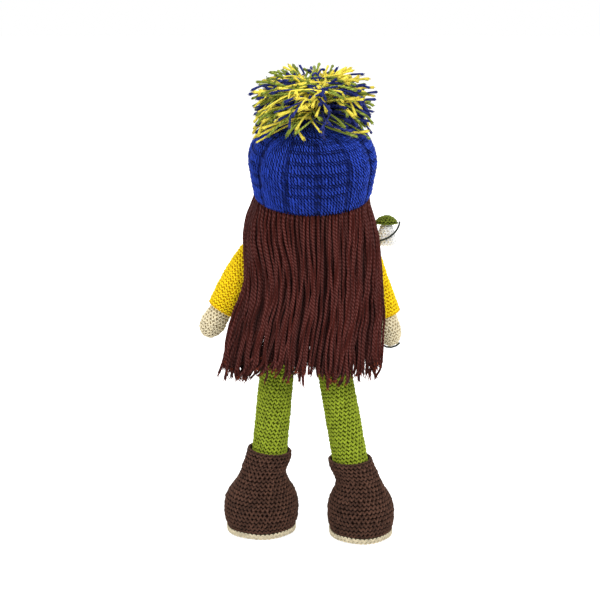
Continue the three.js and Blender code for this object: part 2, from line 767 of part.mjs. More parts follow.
function buildArm(name, side, splay, sleeveShares) {
  const { flat, point } = shoulder(side);
  const splayAngle = THREE.MathUtils.degToRad(splay);
  const way = new THREE.Vector3(side * Math.sin(splayAngle), 0, -Math.cos(splayAngle));
  const frame = aimed(point, point.clone().add(way));

  const sleeve = sleeveShares.map(([down, out]) => [out * SLEEVE_RADIUS, -down * SLEEVE_LENGTH]);
  const sleeveOuter = [...sleeve, [SLEEVE_RADIUS, 0], ...domeAbove(SLEEVE_RADIUS, 0)];
  const sleeveShell = turned(shellOpenBelow(sleeveOuter, SWEATER_WALL), LIMB_SIDES);
  const sleevePiece = piece(`${name}_sleeve`, sleeveShell, "yellow", frame);
  const bodyWay = side > 0 ? RIGHT : LEFT;
  carve(sleevePiece, halfSpace(bodyWay, -side * flat, doll));

  const narrowest = Math.min(...sleeve.map(([radius]) => radius));
  const armRadius = narrowest - SWEATER_WALL - GAP;
  const handHeight = HAND_TIP - armLength;
  const arm = [
    ...domeBelow(HAND_RADIUS, handHeight, HAND_TIP),
    [HAND_RADIUS, handHeight],
    [mix(HAND_RADIUS, armRadius, WRIST_SHARE), mix(handHeight, -SLEEVE_LENGTH, WRIST_SHARE)],
    [armRadius, -SLEEVE_LENGTH],
    [armRadius, -ARM_TOP_SETBACK],
  ];
  piece(`${name}_arm`, turned(shellOpenAbove(arm, SKIN_WALL), LIMB_SIDES), "beige", frame);
  const inside = offset(arm, -SKIN_WALL - GAP);
  const filling = turned([...inside, [0, inside.at(-1)[1]]], SMALL_SIDES);
  piece(`${name}_arm_filling`, filling, "filling", frame);
  return frame;
}

// Flower: its wire stem curls under the right hand, rises past it and ends beside the calyx.
const HOLD_ANGLES = [-28, -4, 20, 44]; // round the fingertips

// From the hand to the bloom: rise, way forward, and bow towards the body.
const STEM_SHARES = [
  [-0.055, 0.21, 0.63],
  [0.075, 0.39, 0.81],
  [0.39, 0.7, 1],
  [0.605, 0.79, 1.02],
];
const STEM_ARC_ANGLES = [35, 65, 90, 120, 150, 176]; // round the back of the bloom
const STEM_ARC_SHARES = [0.9, 0.72, 0.6, 0.38, 0.08, -0.13]; // down the bloom

// Bloom: place down it, from its mouth up, and radius.
const BLOOM_SHARES = [
  [1, 1],
  [0.8, 0.93],
  [0.55, 0.8],
  [0.3, 0.68],
  [0.1, 0.55],
  [0, 0.42],
];
const PETAL_SHARE = 0.08; // how far the petals stand out of the bell

function buildStem(handFrame, bloom) {
  const side = STEM_RADIUS + GAP;
  const palm = new THREE.Vector3(0, 0, HAND_TIP - armLength);
  const hold = HOLD_ANGLES.map((degrees) => {
    const angle = THREE.MathUtils.degToRad(degrees);
    const x = (HAND_RADIUS + side) * Math.sin(angle);
    const z = (HAND_TIP + side) * Math.cos(angle);
    return handFrame.localToWorld(new THREE.Vector3(x, 0, palm.z - z));
  });
  const hand = handFrame.localToWorld(palm);
  const rising = STEM_SHARES.map(([rise, forward, bow]) => {
    const x = mix(hand.x, bloom.x, rise) + STEM_BOW * bow;
    return new THREE.Vector3(x, mix(hand.y, bloom.y, forward), mix(hand.z, bloom.z, rise));
  });
  const reach = BLOOM_RADIUS * (1 + PETAL_SHARE) + side;
  const arc = STEM_ARC_ANGLES.map((degrees, i) => {
    const angle = THREE.MathUtils.degToRad(degrees);
    const last = i === STEM_ARC_ANGLES.length - 1;
    const radius = last ? CALYX_LENGTH / 2 + side : reach;
    const x = bloom.x + radius * Math.cos(angle);
    const y = bloom.y + radius * Math.sin(angle);
    return new THREE.Vector3(x, y, bloom.z - STEM_ARC_SHARES[i] * BLOOM_LENGTH);
  });
  piece("flower_stem", tube([...hold, ...rising, ...arc], STEM_RADIUS, STEM_STEPS), "green");
}

function bloomRing([radius, height]) {
  if (radius === 0) return [new THREE.Vector3(0, 0, height)];
  return Array.from({ length: ROUND_SIDES }, (_, i) => {
    const angle = (i / ROUND_SIDES) * 2 * Math.PI;
    const petal = PETAL_SHARE * Math.cos(PETALS * angle) * (-height / BLOOM_LENGTH);
    const reach = radius + BLOOM_RADIUS * petal;
    return new THREE.Vector3(reach * Math.cos(angle), reach * Math.sin(angle), height);
  });
}

function buildFlower(handFrame) {
  const frame = new THREE.Group();
  frame.position.set(-BLOOM_OUT, -BLOOM_FORWARD, headHeight - BLOOM_DROP - GAP);
  doll.add(frame);
  buildStem(handFrame, frame.position);

  const calyx = turned([[0, 0], [1, 0], ...domeAbove(1, 0)], SMALL_SIDES);
  calyx.scale(CALYX_LENGTH / 2, CALYX_DEPTH / 2, CALYX_HEIGHT);
  piece("flower_calyx", calyx, "green", frame).position.z = GAP;

  const side = BLOOM_SHARES.map(([down, out]) => [out * BLOOM_RADIUS, -down * BLOOM_LENGTH]);
  const bell = shellOpenBelow([...side, [0, 0]], BLOOM_WALL).map(bloomRing);
  piece("flower_bloom", loft(bell), "white", frame);
  const stamenSize = new THREE.Vector3(STAMEN_RADIUS, STAMEN_RADIUS, STAMEN_LENGTH / 2);
  const ball = ellipsoid(stamenSize, 0, SMALL_SIDES, DOME_STEPS * 2);
  const stamen = piece("flower_stamen", ball, "yellow", frame);
  stamen.position.z = -BLOOM_WALL - GAP - STAMEN_LENGTH / 2;
}

// Legs and boots. Columns: place up the leg, and the way from the calf's radius to the top's.
const LEG_SHARES = [
  [0, 0],
  [0.35, -0.3],
  [0.7, 0.5],
  [1, 1],
];

// Boot: height, foot's outward place, and the ways from the shaft to the foot's width, toe and
// heel.
const BOOT_SHARES = [
  [0, 1, 0.76, 0.93, 0.85],
  [0.12, 1, 0.97, 1, 1],
  [0.23, 1, 1, 1, 1],
  [0.35, 0.98, 0.95, 0.9, 0.93],
  [0.43, 0.95, 0.8, 0.74, 0.8],
  [0.51, 0.9, 0.55, 0.55, 0.6],
  [0.595, 0.85, 0.27, 0.32, 0.35],
  [0.69, 0.72, 0.08, 0.12, 0.12],
  [0.77, 0.5, 0.05, 0.03, 0.03],
  [0.86, 0.2, 0.06, 0.03, 0.03],
  [0.94, 0, 0.04, 0, 0],
  [1, 0, 0, 0, 0],
];
const SOLE_EDGE_SHARE = 0.4; // how high the sole's rounded lower edge reaches

function bootOval(foot, share, grow) {
  const [, out, width, toe, heel] = read(BOOT_SHARES, share);
  const z = mix(soleTop, foot.height, share);
  const lean = Math.max(0, (z - ANKLE_HEIGHT) / LEG_RISE);
  const ring = {
    x: mix(foot.ankle.x, foot.hip.x, lean) + foot.side * foot.out * out,
    y: mix(foot.ankle.y, foot.hip.y, lean),
    z,
    side: mix(shaftRadius, foot.width / 2, width),
    front: mix(shaftRadius, TOE_REACH, toe),
    back: mix(shaftRadius, HEEL_REACH, heel),
  };
  return grown(ring, grow);
}

function bootRings(foot, start, end, grow) {
  return stretch(BOOT_SHARES, start, end).map((share) => oval(bootOval(foot, share, grow)));
}

function buildBoot(name, foot, legSpace) {
  const outer = bootRings(foot, 0, 1, 0);
  const inner = bootRings(foot, 0, 1, -BOOT_WALL).reverse();
  carve(piece(`${name}_boot`, loft([...outer, ...inner], true), "brown"), legSpace);

  const upperHeight = foot.height - soleTop;
  const insoleShare = INSOLE_THICKNESS / upperHeight;
  const insole = bootRings(foot, 0, insoleShare, -BOOT_WALL - GAP);
  piece(`${name}_insole`, solidLoft(insole), "card");
  const lowShare = insoleShare + GAP / upperHeight;
  const highShare = (ANKLE_HEIGHT - soleTop) / upperHeight;
  const filling = solidLoft(bootRings(foot, lowShare, highShare, -BOOT_WALL - GAP));
  carve(piece(`${name}_boot_filling`, filling, "filling"), legSpace);

  const sole = bootOval(foot, 0, SOLE_MARGIN);
  const edge = SOLE_THICKNESS * SOLE_EDGE_SHARE;
  const soleRings = [
    oval({ ...grown(sole, -SOLE_MARGIN), z: 0 }),
    oval({ ...sole, z: edge }),
    oval({ ...sole, z: SOLE_THICKNESS }),
  ];
  piece(`${name}_sole`, solidLoft(soleRings), "cream");
}

function buildLeg(name, side, { out, back, footWidth, footOut, height }) {
  const hip = new THREE.Vector3(HIP_SHIFT + side * HIP_SPREAD, 0, hipHeight);
  const ankle = new THREE.Vector3(hip.x + side * out, back, ANKLE_HEIGHT);
  const frame = aimed(hip, ankle);
  const length = hip.distanceTo(ankle);
  const profile = LEG_SHARES.map(([up, way]) => [
    mix(CALF_RADIUS, LEG_TOP_RADIUS, way),
    mix(-length, 0, up),
  ]);
  const leg = [...profile, ...domeAbove(LEG_TOP_RADIUS, 0)];
  piece(`${name}_leg`, turned(shellOpenBelow(leg, TROUSER_WALL), LIMB_SIDES), "green", frame);
  const inside = offset(leg, -TROUSER_WALL - GAP);
  const filling = turned([[0, inside[0][1]], ...inside], LIMB_SIDES);
  piece(`${name}_leg_filling`, filling, "filling", frame);

  const room = offset(leg, GAP);
  const roomEnd = -length - GAP;
  const space = [[0, roomEnd], [room[0][0], roomEnd], ...room];
  const legSpace = cutter(turned(space, LIMB_SIDES), frame);
  buildBoot(name, { side, hip, ankle, width: footWidth, out: footOut, height }, legSpace);
}

buildBody();
const head = buildHead();
buildFace(head);
buildHat();
buildHeadHair();
buildBackHair();
buildArm("left", 1, LEFT_ARM_ANGLE, LEFT_SLEEVE_SHARES);
const rightHandFrame = buildArm("right", -1, RIGHT_ARM_ANGLE, RIGHT_SLEEVE_SHARES);
buildFlower(rightHandFrame);
buildLeg("left", 1, {
  out: LEFT_LEG_OUT,
  back: 0,
  footWidth: LEFT_FOOT_WIDTH,
  footOut: LEFT_FOOT_OUT,
  height: LEFT_BOOT_HEIGHT,
});
buildLeg("right", -1, {
  out: RIGHT_LEG_OUT,
  back: RIGHT_LEG_BACK,
  footWidth: RIGHT_FOOT_WIDTH,
  footOut: RIGHT_FOOT_OUT,
  height: RIGHT_BOOT_HEIGHT,
});

// The origin is under the middle of the whole doll, on the floor.
const box = new THREE.Box3().setFromObject(doll, true);
const centre = box.getCenter(new THREE.Vector3());
doll.position.set(-centre.x, -centre.y, -box.min.z);

export default doll;
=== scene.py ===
"""A crocheted doll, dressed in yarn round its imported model.

Each crocheted piece is a shaped ground of fabric with real stitches of yarn in rounds over it.
The hair and the pompom are lengths of plied yarn. Sizes are in metres.
"""

import contextlib
import functools
import json
import math
from collections import namedtuple

import bmesh
import bpy
import numpy as np
from mathutils import Matrix, Vector
from mathutils.bvhtree import BVHTree

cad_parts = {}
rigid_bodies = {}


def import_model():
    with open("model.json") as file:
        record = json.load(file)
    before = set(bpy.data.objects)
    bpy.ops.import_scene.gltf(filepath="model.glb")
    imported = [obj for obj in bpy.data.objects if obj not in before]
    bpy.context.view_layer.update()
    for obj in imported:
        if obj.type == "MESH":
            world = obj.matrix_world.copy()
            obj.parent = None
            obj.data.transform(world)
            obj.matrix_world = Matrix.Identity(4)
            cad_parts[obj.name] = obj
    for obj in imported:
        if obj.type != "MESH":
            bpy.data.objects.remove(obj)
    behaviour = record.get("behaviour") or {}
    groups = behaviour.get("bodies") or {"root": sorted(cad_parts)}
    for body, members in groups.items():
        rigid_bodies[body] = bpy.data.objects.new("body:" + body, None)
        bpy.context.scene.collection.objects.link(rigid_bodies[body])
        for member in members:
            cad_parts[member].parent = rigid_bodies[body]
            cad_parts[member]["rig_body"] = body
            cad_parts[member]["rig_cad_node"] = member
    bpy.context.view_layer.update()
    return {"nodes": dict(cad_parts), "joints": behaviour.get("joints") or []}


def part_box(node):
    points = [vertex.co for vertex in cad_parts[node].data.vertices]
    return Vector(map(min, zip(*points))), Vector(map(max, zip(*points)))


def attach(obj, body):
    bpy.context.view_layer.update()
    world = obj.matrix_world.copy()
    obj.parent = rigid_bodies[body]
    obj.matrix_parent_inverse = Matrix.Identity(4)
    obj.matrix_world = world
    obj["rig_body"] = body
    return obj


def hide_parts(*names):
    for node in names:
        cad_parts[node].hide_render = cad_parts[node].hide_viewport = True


bl_info = {
    "name": "Crochet Doll",
    "version": (1, 0, 0),
    "blender": (4, 5, 0),
    "location": "View3D > Sidebar > Doll",
    "description": "Dresses the packed model of a crocheted doll in yarn",
    "category": "Mesh",
}

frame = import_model()

MM = 0.001
FAR = 0.5  # rays start this far outside the doll
SEED = 20  # each piece adds a number of its own
YARN_MAP = "yarn"  # the map that runs along and round a strand
HAT_TILT = math.radians(12)
HEAD_CENTRE = Vector((-7.96, -4.83, 241.75)) * MM
BRIM_HEIGHT = 1.5 * MM  # in the hat's own frame
HAT_RIBS = 12
POSTS_PER_RIB = 10
HAT_SEAM_TURN = math.radians(94.5)
GOLDEN_ANGLE = math.pi * (3 - math.sqrt(5))  # spreads strands evenly round the pompom
PLIES = 2  # in a yarn
YARN_PITCH = 2.6 * MM  # along a strand, for one turn of its plies
STRAND_TURN = 16  # turns of its plies, for one turn of a strand's six sides
TONE_TURN = 6.3  # radians that a strand is turned for 1 of its tone, so that no two match
YARN_SIDES = 6
YARN_VALLEY = 0.92  # radius between the plies, as a share of the strand's
SIDEWAYS = (0.31, 0.27, 0.91)  # no strand runs along this way
WISPS = 5  # of fibre at each cut end
LEAST_STITCHES = 6  # in a round
UNEVEN_SIZE = 0.08  # how much stitches differ in size
UNEVEN_SWAY = 0.1  # how much they lean, as a share of their width
UNEVEN_PLACE = 0.04  # how much they are out of place, as a share of their height
SHORTEST = 0.6  # where rounds lie closer, stitches stay this much of a round's height
SUNK = 0.7  # how deep the stitches' middles lie, as a share of how far they stand out
GROOVE_DEPTH = 1.25  # of the ground between two rounds, as a share of the same
GROUND_DEPTH = 0.95  # of the ground in the middle of a round
FINE_GAUGE = {"width": 2.8 * MM, "height": 2.5 * MM}  # of the head and the sleeves
SKIN_DEPTH = 0.75 * MM  # how far the skin's stitches stand out
EDGE = 0.3 * MM  # rays stay this far inside the ends of a piece
POLE = 89.9  # the steepest ray, in degrees: at 90 all would meet at one place


def shade(red, green, blue):
    """A colour of 0 to 255 a channel, as the linear values that Blender keeps."""
    parts = [c / 255 for c in (red, green, blue)]
    return tuple(p / 12.92 if p <= 0.04045 else ((p + 0.055) / 1.055) ** 2.4 for p in parts)


def colour(name, about, *value):
    """A colour that the user can change."""
    return bpy.props.FloatVectorProperty(
        name=name, description=about, subtype="COLOR", size=3, min=0, max=1, default=shade(*value)
    )


def length(name, about, millimetres):
    """A length that the user can change."""
    return bpy.props.FloatProperty(
        name=name, description=about, unit="LENGTH", min=0, default=millimetres * MM
    )


class DollSizes(bpy.types.PropertyGroup):
    """Gauge of the stitches, and thickness and number of the loose yarns"""

    stitch_width: length("Stitch width", "Width of one stitch of the doll's fabric", 3.0)
    row_height: length("Row height", "Height of one round of the doll's fabric", 2.75)
    stitch_depth: length("Stitch depth", "How far a stitch stands out of the fabric", 0.95)
    hat_stitch: length("Hat stitch width", "Width of one stitch of the hat", 2.36)
    hat_row: length("Hat row height", "Height of one row of the hat", 2.5)
    hair_yarn: length("Hair yarn", "Thickness of a strand of hair", 1.9)
    hair_strands: bpy.props.IntProperty(
        name="Strands of hair", description="Strands across one layer of the back hair",
        min=8, default=92,
    )
    pompom_yarn: length("Pompom yarn", "Thickness of a strand of the pompom", 1.3)
    pompom_strands: bpy.props.IntProperty(
        name="Strands of the pompom", description="Cut ends that show on the pompom",
        min=20, default=430,
    )


class DollColours(bpy.types.PropertyGroup):
    """Colours of the yarns"""

    hat: colour("Hat", "Blue cotton of the hat", 38, 66, 172)
    hair: colour("Hair", "Brown yarn of the hair", 62, 18, 11)
    hair_tips: colour("Hair ends", "Frayed ends of the hair", 128, 54, 32)
    sweater: colour("Sweater", "Yellow cotton of the sweater", 255, 226, 24)
    trousers: colour("Trousers", "Green cotton of the trouser legs", 152, 169, 46)
    boots: colour("Boots", "Dark brown cotton of the boots", 84, 57, 45)
    sole: colour("Soles", "Cream yarn of the soles", 226, 214, 184)
    skin: colour("Skin", "Beige cotton of the head and hands", 242, 230, 196)
    lips: colour("Mouth", "Yarn of the mouth and nose", 190, 96, 84)
    bloom: colour("Bloom", "White cotton of the flower", 252, 252, 250)
    leaf: colour("Leaf green", "Green yarn of the flower's cap and of the pompom", 126, 140, 50)
    pompom_yellow: colour("Pompom yellow", "Yellow strands of the pompom", 246, 226, 84)
    pompom_blue: colour("Pompom blue", "Dark blue strands of the pompom", 34, 44, 112)


def sizes():
    return bpy.context.scene.doll_sizes


def colours():
    return bpy.context.scene.doll_colours


# Selecting, and finished pieces


def deselect():
    if bpy.context.object and bpy.context.object.mode != "OBJECT":
        bpy.ops.object.mode_set(mode="OBJECT")
    for item in list(bpy.context.selected_objects):
        item.select_set(False)


def activate(item):
    deselect()
    item.select_set(True)
    bpy.context.view_layer.objects.active = item


def cover(item, material):
    """Gives the object one material in place of those that it has."""
    item.data.materials.clear()
    item.data.materials.append(material)


def named(name, material=None):
    """The active object, renamed, with its material."""
    item = bpy.context.object
    item.name = item.data.name = name
    if material:
        cover(item, material)
    return item


@contextlib.contextmanager
def edit_mode():
    """Edit mode, with the whole mesh selected."""
    bpy.ops.object.mode_set(mode="EDIT")
    bpy.ops.mesh.select_all(action="SELECT")
    yield
    bpy.ops.object.mode_set(mode="OBJECT")


def settle(item):
    """Puts the object's place and turn in its mesh."""
    activate(item)
    bpy.ops.object.transform_apply(location=True, rotation=True, scale=True)


def apply_modifiers(item):
    activate(item)
    for modifier in list(item.modifiers):
        bpy.ops.object.modifier_apply(modifier=modifier.name)


def join(name, items):
    activate(items[0])
    for item in items[1:]:
        item.select_set(True)
    bpy.ops.object.join()
    return named(name)


def finish(item, body, slot, *nodes, fill=None):
    """Says what the piece rides on and what it stands for; its slot, which would name its finish, is
    not used.
    """
    deselect()
    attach(item, body)
    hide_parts(*nodes)
    return item


# Materials


def node(tree, kind, inputs=(), **settings):
    """A shader node with its settings, and its inputs set or linked."""
    made = tree.nodes.new(kind)
    for key, value in settings.items():
        setattr(made, key, value)
    for key, value in dict(inputs).items():
        if isinstance(value, bpy.types.NodeSocket):
            tree.links.new(value, made.inputs[key])
        else:
            made.inputs[key].default_value = value
    return made


def maths(tree, operation, *values):
    return node(tree, "ShaderNodeMath", enumerate(values), operation=operation).outputs[0]


def blend_colours(tree, factor, low, high):
    made = node(
        tree, "ShaderNodeMix", {"Factor": factor}, data_type="RGBA", clamp_factor=True
    )
    for socket, value in zip((made.inputs[6], made.inputs[7]), (low, high)):
        if isinstance(value, bpy.types.NodeSocket):
            tree.links.new(value, socket)
        else:
            socket.default_value = value
    return made.outputs[2]


def spread(tree, value, low, high):
    """A value between two limits, brought smoothly to 0 to 1."""
    inputs = {0: value, 1: low, 2: high}
    made = node(tree, "ShaderNodeMapRange", inputs, interpolation_type="SMOOTHSTEP")
    return made.outputs[0]


def noise(tree, scale, **settings):
    """Noise over the object's own space."""
    spot = node(tree, "ShaderNodeTexCoord").outputs["Object"]
    inputs = {"Vector": spot, "Scale": scale, **settings}
    return node(tree, "ShaderNodeTexNoise", inputs).outputs["Fac"]


def new_group(name, inputs, outputs):
    group = bpy.data.node_groups.new(name, "ShaderNodeTree")
    for label, kind, value in inputs:
        socket = group.interface.new_socket(label, in_out="INPUT", socket_type=kind)
        socket.default_value = value
    for label, kind in outputs:
        group.interface.new_socket(label, in_out="OUTPUT", socket_type=kind)
    return group, group.nodes.new("NodeGroupInput"), group.nodes.new("NodeGroupOutput")


def yarn_group():
    """Plied yarn: plies along the strand, fibres, and each stitch a little different. Its crests get
    a painted highlight in the lighter colour, and its flanks and the valleys between its plies get
    painted shade in the darker colour.
    """
    if "Plied yarn" in bpy.data.node_groups:
        return bpy.data.node_groups["Plied yarn"]
    group, given, out = new_group(
        "Plied yarn",
        [
            ("Yarn", "NodeSocketColor", (0.5, 0.5, 0.5, 1)),
            ("Light", "NodeSocketColor", (0.8, 0.8, 0.8, 1)),
            ("Gap", "NodeSocketColor", (0.1, 0.1, 0.1, 1)),
            ("Unevenness", "NodeSocketFloat", 0.3),
        ],
        [
            ("Color", "NodeSocketColor"), ("Roughness", "NodeSocketFloat"),
            ("Height", "NodeSocketFloat"),
        ],
    )
    along = node(group, "ShaderNodeUVMap", uv_map=YARN_MAP).outputs[0]
    place = node(group, "ShaderNodeSeparateXYZ", {0: along})
    turned = maths(group, "MULTIPLY_ADD", place.outputs[0], PLIES, place.outputs[1])
    wave = maths(group, "SINE", maths(group, "MULTIPLY", turned, 2 * math.pi))
    ply = maths(group, "MULTIPLY_ADD", wave, 0.5, 0.5)
    tone = node(group, "ShaderNodeAttribute", attribute_name="tone").outputs["Fac"]
    crest = node(group, "ShaderNodeAttribute", attribute_name="crest").outputs["Fac"]
    fibre = noise(group, 2600, Detail=3, Roughness=0.7)
    patch = noise(group, 70, Detail=2)
    # painted shade: the flanks of a stitch and the valleys between plies take the darker colour
    flank = maths(group, "MULTIPLY", spread(group, crest, 0.3, 0.8), spread(group, ply, -1.2, 0.6))
    hollow = blend_colours(group, flank, given.outputs["Gap"], given.outputs["Yarn"])
    # painted highlight: the tops of the crests take the lighter colour
    top = maths(group, "MULTIPLY", spread(group, crest, 0.7, 1.0), spread(group, ply, 0.3, 1.0))
    lit = blend_colours(group, top, hollow, given.outputs["Light"])
    specks = maths(group, "MULTIPLY_ADD", maths(group, "ADD", patch, fibre), 0.7, -0.7)
    uneven = maths(group, "ADD", maths(group, "SUBTRACT", tone, 0.5), specks)
    amount = maths(group, "MULTIPLY", uneven, given.outputs["Unevenness"])
    value = maths(group, "MAXIMUM", maths(group, "ADD", amount, 1.0), 0.12)
    tint = node(group, "ShaderNodeHueSaturation", {"Value": value, "Color": lit}).outputs[0]
    group.links.new(tint, out.inputs["Color"])
    rough = maths(group, "MULTIPLY_ADD", fibre, 0.3, 0.66)
    group.links.new(rough, out.inputs["Roughness"])
    height = maths(group, "MULTIPLY_ADD", fibre, 0.35, ply)
    group.links.new(height, out.inputs["Height"])
    return group


def fabric_group():
    """The ground between the stitches: rounds of fabric that follow the piece's own map, with painted
    shade in the low parts between its rounds and knots.
    """
    if "Fabric ground" in bpy.data.node_groups:
        return bpy.data.node_groups["Fabric ground"]
    group, given, out = new_group(
        "Fabric ground",
        [
            ("Yarn", "NodeSocketColor", (0.5, 0.5, 0.5, 1)),
            ("Gap", "NodeSocketColor", (0.1, 0.1, 0.1, 1)),
        ],
        [("Color", "NodeSocketColor"), ("Height", "NodeSocketFloat")],
    )
    place = node(
        group, "ShaderNodeSeparateXYZ",
        {0: node(group, "ShaderNodeUVMap", uv_map=YARN_MAP).outputs[0]},
    )
    rows = maths(group, "SINE", maths(group, "MULTIPLY", place.outputs[1], 2 * math.pi))
    lean = maths(group, "MULTIPLY_ADD", maths(group, "ABSOLUTE", rows), 0.25, place.outputs[0])
    stems = maths(group, "SINE", maths(group, "MULTIPLY", lean, 2 * math.pi))
    knots = maths(group, "ADD", maths(group, "ABSOLUTE", rows), maths(group, "MULTIPLY", stems, 0.5))
    fibre = noise(group, 1800, Detail=3)
    mix = maths(group, "MULTIPLY_ADD", fibre, 0.6, maths(group, "MULTIPLY", knots, 0.5))
    # painted shade: the low parts between rounds and knots take the darker colour
    raised = spread(group, mix, 0.1, 1.2)
    tint = blend_colours(group, raised, given.outputs["Gap"], given.outputs["Yarn"])
    group.links.new(tint, out.inputs["Color"])
    group.links.new(maths(group, "MULTIPLY_ADD", fibre, 0.4, knots), out.inputs["Height"])
    return group


def once(make):
    """Makes a material only when there is none of its name yet."""

    @functools.wraps(make)
    def ask(name, *values, **settings):
        return bpy.data.materials.get(name) or make(name, *values, **settings)

    return ask


def new_material(name, inputs):
    """A material with its Principled shader, whose inputs are set."""
    material = bpy.data.materials.new(name)
    material.use_nodes = True
    tree = material.node_tree
    tree.nodes.clear()
    shader = node(tree, "ShaderNodeBsdfPrincipled", inputs)
    node(tree, "ShaderNodeOutputMaterial", {0: shader.outputs[0]})
    return material, tree, shader


def times(tint, factor):
    """The colour made lighter or darker."""
    return (*(min(1.0, c * factor) for c in tint), 1.0)


def bump(tree, shader, height, depth):
    made = node(tree, "ShaderNodeBump", {"Height": height, "Strength": 0.8, "Distance": depth})
    tree.links.new(made.outputs[0], shader.inputs["Normal"])


@once
def yarn(name, tint, look):
    """Yarn of one colour, with a painted highlight on its crests and painted shade in its dips."""
    material, tree, shader = new_material(
        name, {"Sheen Weight": 0.04, "Sheen Roughness": 0.5, "Specular IOR Level": 0.12}
    )
    # painted highlight: the crests' colour is the yarn's made a little paler and lighter; painted
    # shade: the dips take the look's shade colour
    values = {
        "Yarn": times(tint, 1), "Light": times([c + 0.012 for c in tint], look.light),
        "Gap": times(look.hollow, 1), "Unevenness": look.uneven,
    }
    group = node(tree, "ShaderNodeGroup", values, node_tree=yarn_group())
    tree.links.new(group.outputs["Color"], shader.inputs["Base Color"])
    tree.links.new(group.outputs["Roughness"], shader.inputs["Roughness"])
    bump(tree, shader, group.outputs["Height"], 0.12 * MM)
    return material


@once
def ground_fabric(name, tint, dark):
    """The fabric that shows between the stitches and inside the piece, made darker with painted
    shade.
    """
    material, tree, shader = new_material(name, {"Roughness": 0.9, "Specular IOR Level": 0.05})
    # painted shade: the ground is mostly the yarn's shade colour, and its low parts darker still
    mixed = tuple(0.35 * a + 0.65 * b for a, b in zip(tint, dark))
    values = {"Yarn": times(mixed, 1), "Gap": times(dark, 0.7)}
    group = node(tree, "ShaderNodeGroup", values, node_tree=fabric_group())
    tree.links.new(group.outputs["Color"], shader.inputs["Base Color"])
    bump(tree, shader, group.outputs["Height"], 0.35 * MM)
    return material


@once
def speckled(name, tint, dark, scale, rough, depth, inputs=()):
    """A material with a fine grain, for the parts that are not yarn."""
    material, tree, shader = new_material(name, inputs)
    grain = noise(tree, scale, Detail=4, Roughness=0.65)
    dots = spread(tree, grain, 0.3, 0.7)
    mixed = blend_colours(tree, dots, times(tint, dark), times(tint, 1))
    tree.links.new(mixed, shader.inputs["Base Color"])
    tree.links.new(maths(tree, "MULTIPLY_ADD", grain, 0.2, rough), shader.inputs["Roughness"])
    bump(tree, shader, grain, depth)
    return material


# How a yarn looks: the colour of its painted shade between stitches, how light its painted highlight
# on the crests is, and how uneven it is
Look = namedtuple("Look", "hollow light uneven", defaults=(1.35, 0.3))

LOOKS = {
    "hat": Look(shade(4, 11, 70), light=2.7, uneven=0.65),
    "hair": Look(shade(16, 3, 1), light=1.6, uneven=0.6),
    "hair_tips": Look(shade(16, 3, 1), uneven=0.6),
    "sweater": Look(shade(214, 156, 0), light=1.1, uneven=0.16),
    "trousers": Look(shade(66, 78, 0), light=1.5),
    "boots": Look(shade(26, 14, 8), light=2.3, uneven=0.6),
    "sole": Look(shade(150, 135, 100), light=1.08),
    "skin": Look(shade(178, 158, 118), light=1.12, uneven=0.12),
    "lips": Look(shade(110, 44, 38)),
    "bloom": Look(shade(255, 255, 255), light=1.02, uneven=0.02),
    "leaf": Look(shade(48, 58, 6), light=1.6),
    "pompom_yellow": Look(shade(150, 124, 20), light=1.2),
    "pompom_blue": Look(shade(10, 14, 54), light=1.5),
}


def yarn_of(key):
    """The yarn of one of the doll's colours."""
    return yarn(key + " yarn", getattr(colours(), key), LOOKS[key])


def ground_of(key):
    """The ground under the stitches of one of the doll's colours."""
    return ground_fabric(key + " ground", getattr(colours(), key), LOOKS[key].hollow)


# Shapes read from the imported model


@functools.cache
def mesh_of(*names):
    """A tree of the faces of CAD nodes, for rays."""
    points, faces = [], []
    for name in names:
        data = frame["nodes"][name].data
        first = len(points)
        points += [v.co.copy() for v in data.vertices]
        faces += [[first + i for i in face.vertices] for face in data.polygons]
    return BVHTree.FromPolygons(points, faces)


def middle(name):
    low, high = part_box(name)
    return (low + high) / 2


def standing(point):
    """A frame at the point whose Z is up."""
    return Matrix.Translation(point)


def upright(name, z=0.0, aside=0.0):
    """A frame whose Z is up, on the middle line of a CAD node or aside of it."""
    centre = middle(name)
    return standing(Vector((centre.x + aside, centre.y, z)))


def aimed(point, way):
    """A frame at the point whose Z looks along way, and whose Y leans to the doll's back."""
    z = Vector(way).normalized()
    x = Vector((0, 1, 0)).cross(z).normalized()
    y = z.cross(x)
    turn = Matrix((x, y, z)).transposed().to_4x4()
    return Matrix.Translation(point) @ turn


def hat_frame():
    return Matrix.Translation(HEAD_CENTRE) @ Matrix.Rotation(-HAT_TILT, 4, "X")


def moved(frame_now, points):
    """Points of a frame, in the doll's own space."""
    turn = np.array(frame_now)
    return np.asarray(points) @ turn[:3, :3].T + turn[:3, 3]


def hat_local(points):
    """Points in the hat's own frame."""
    return moved(hat_frame().inverted(), points)


def joint_place(name):
    return Vector(next(joint for joint in frame["joints"] if joint["name"] == name)["pos_m"])


def last_hit(tree, origin, way):
    """The outermost place of the faces along a ray from the origin, or None."""
    return tree.ray_cast(origin + way * FAR, -way, FAR)[0]


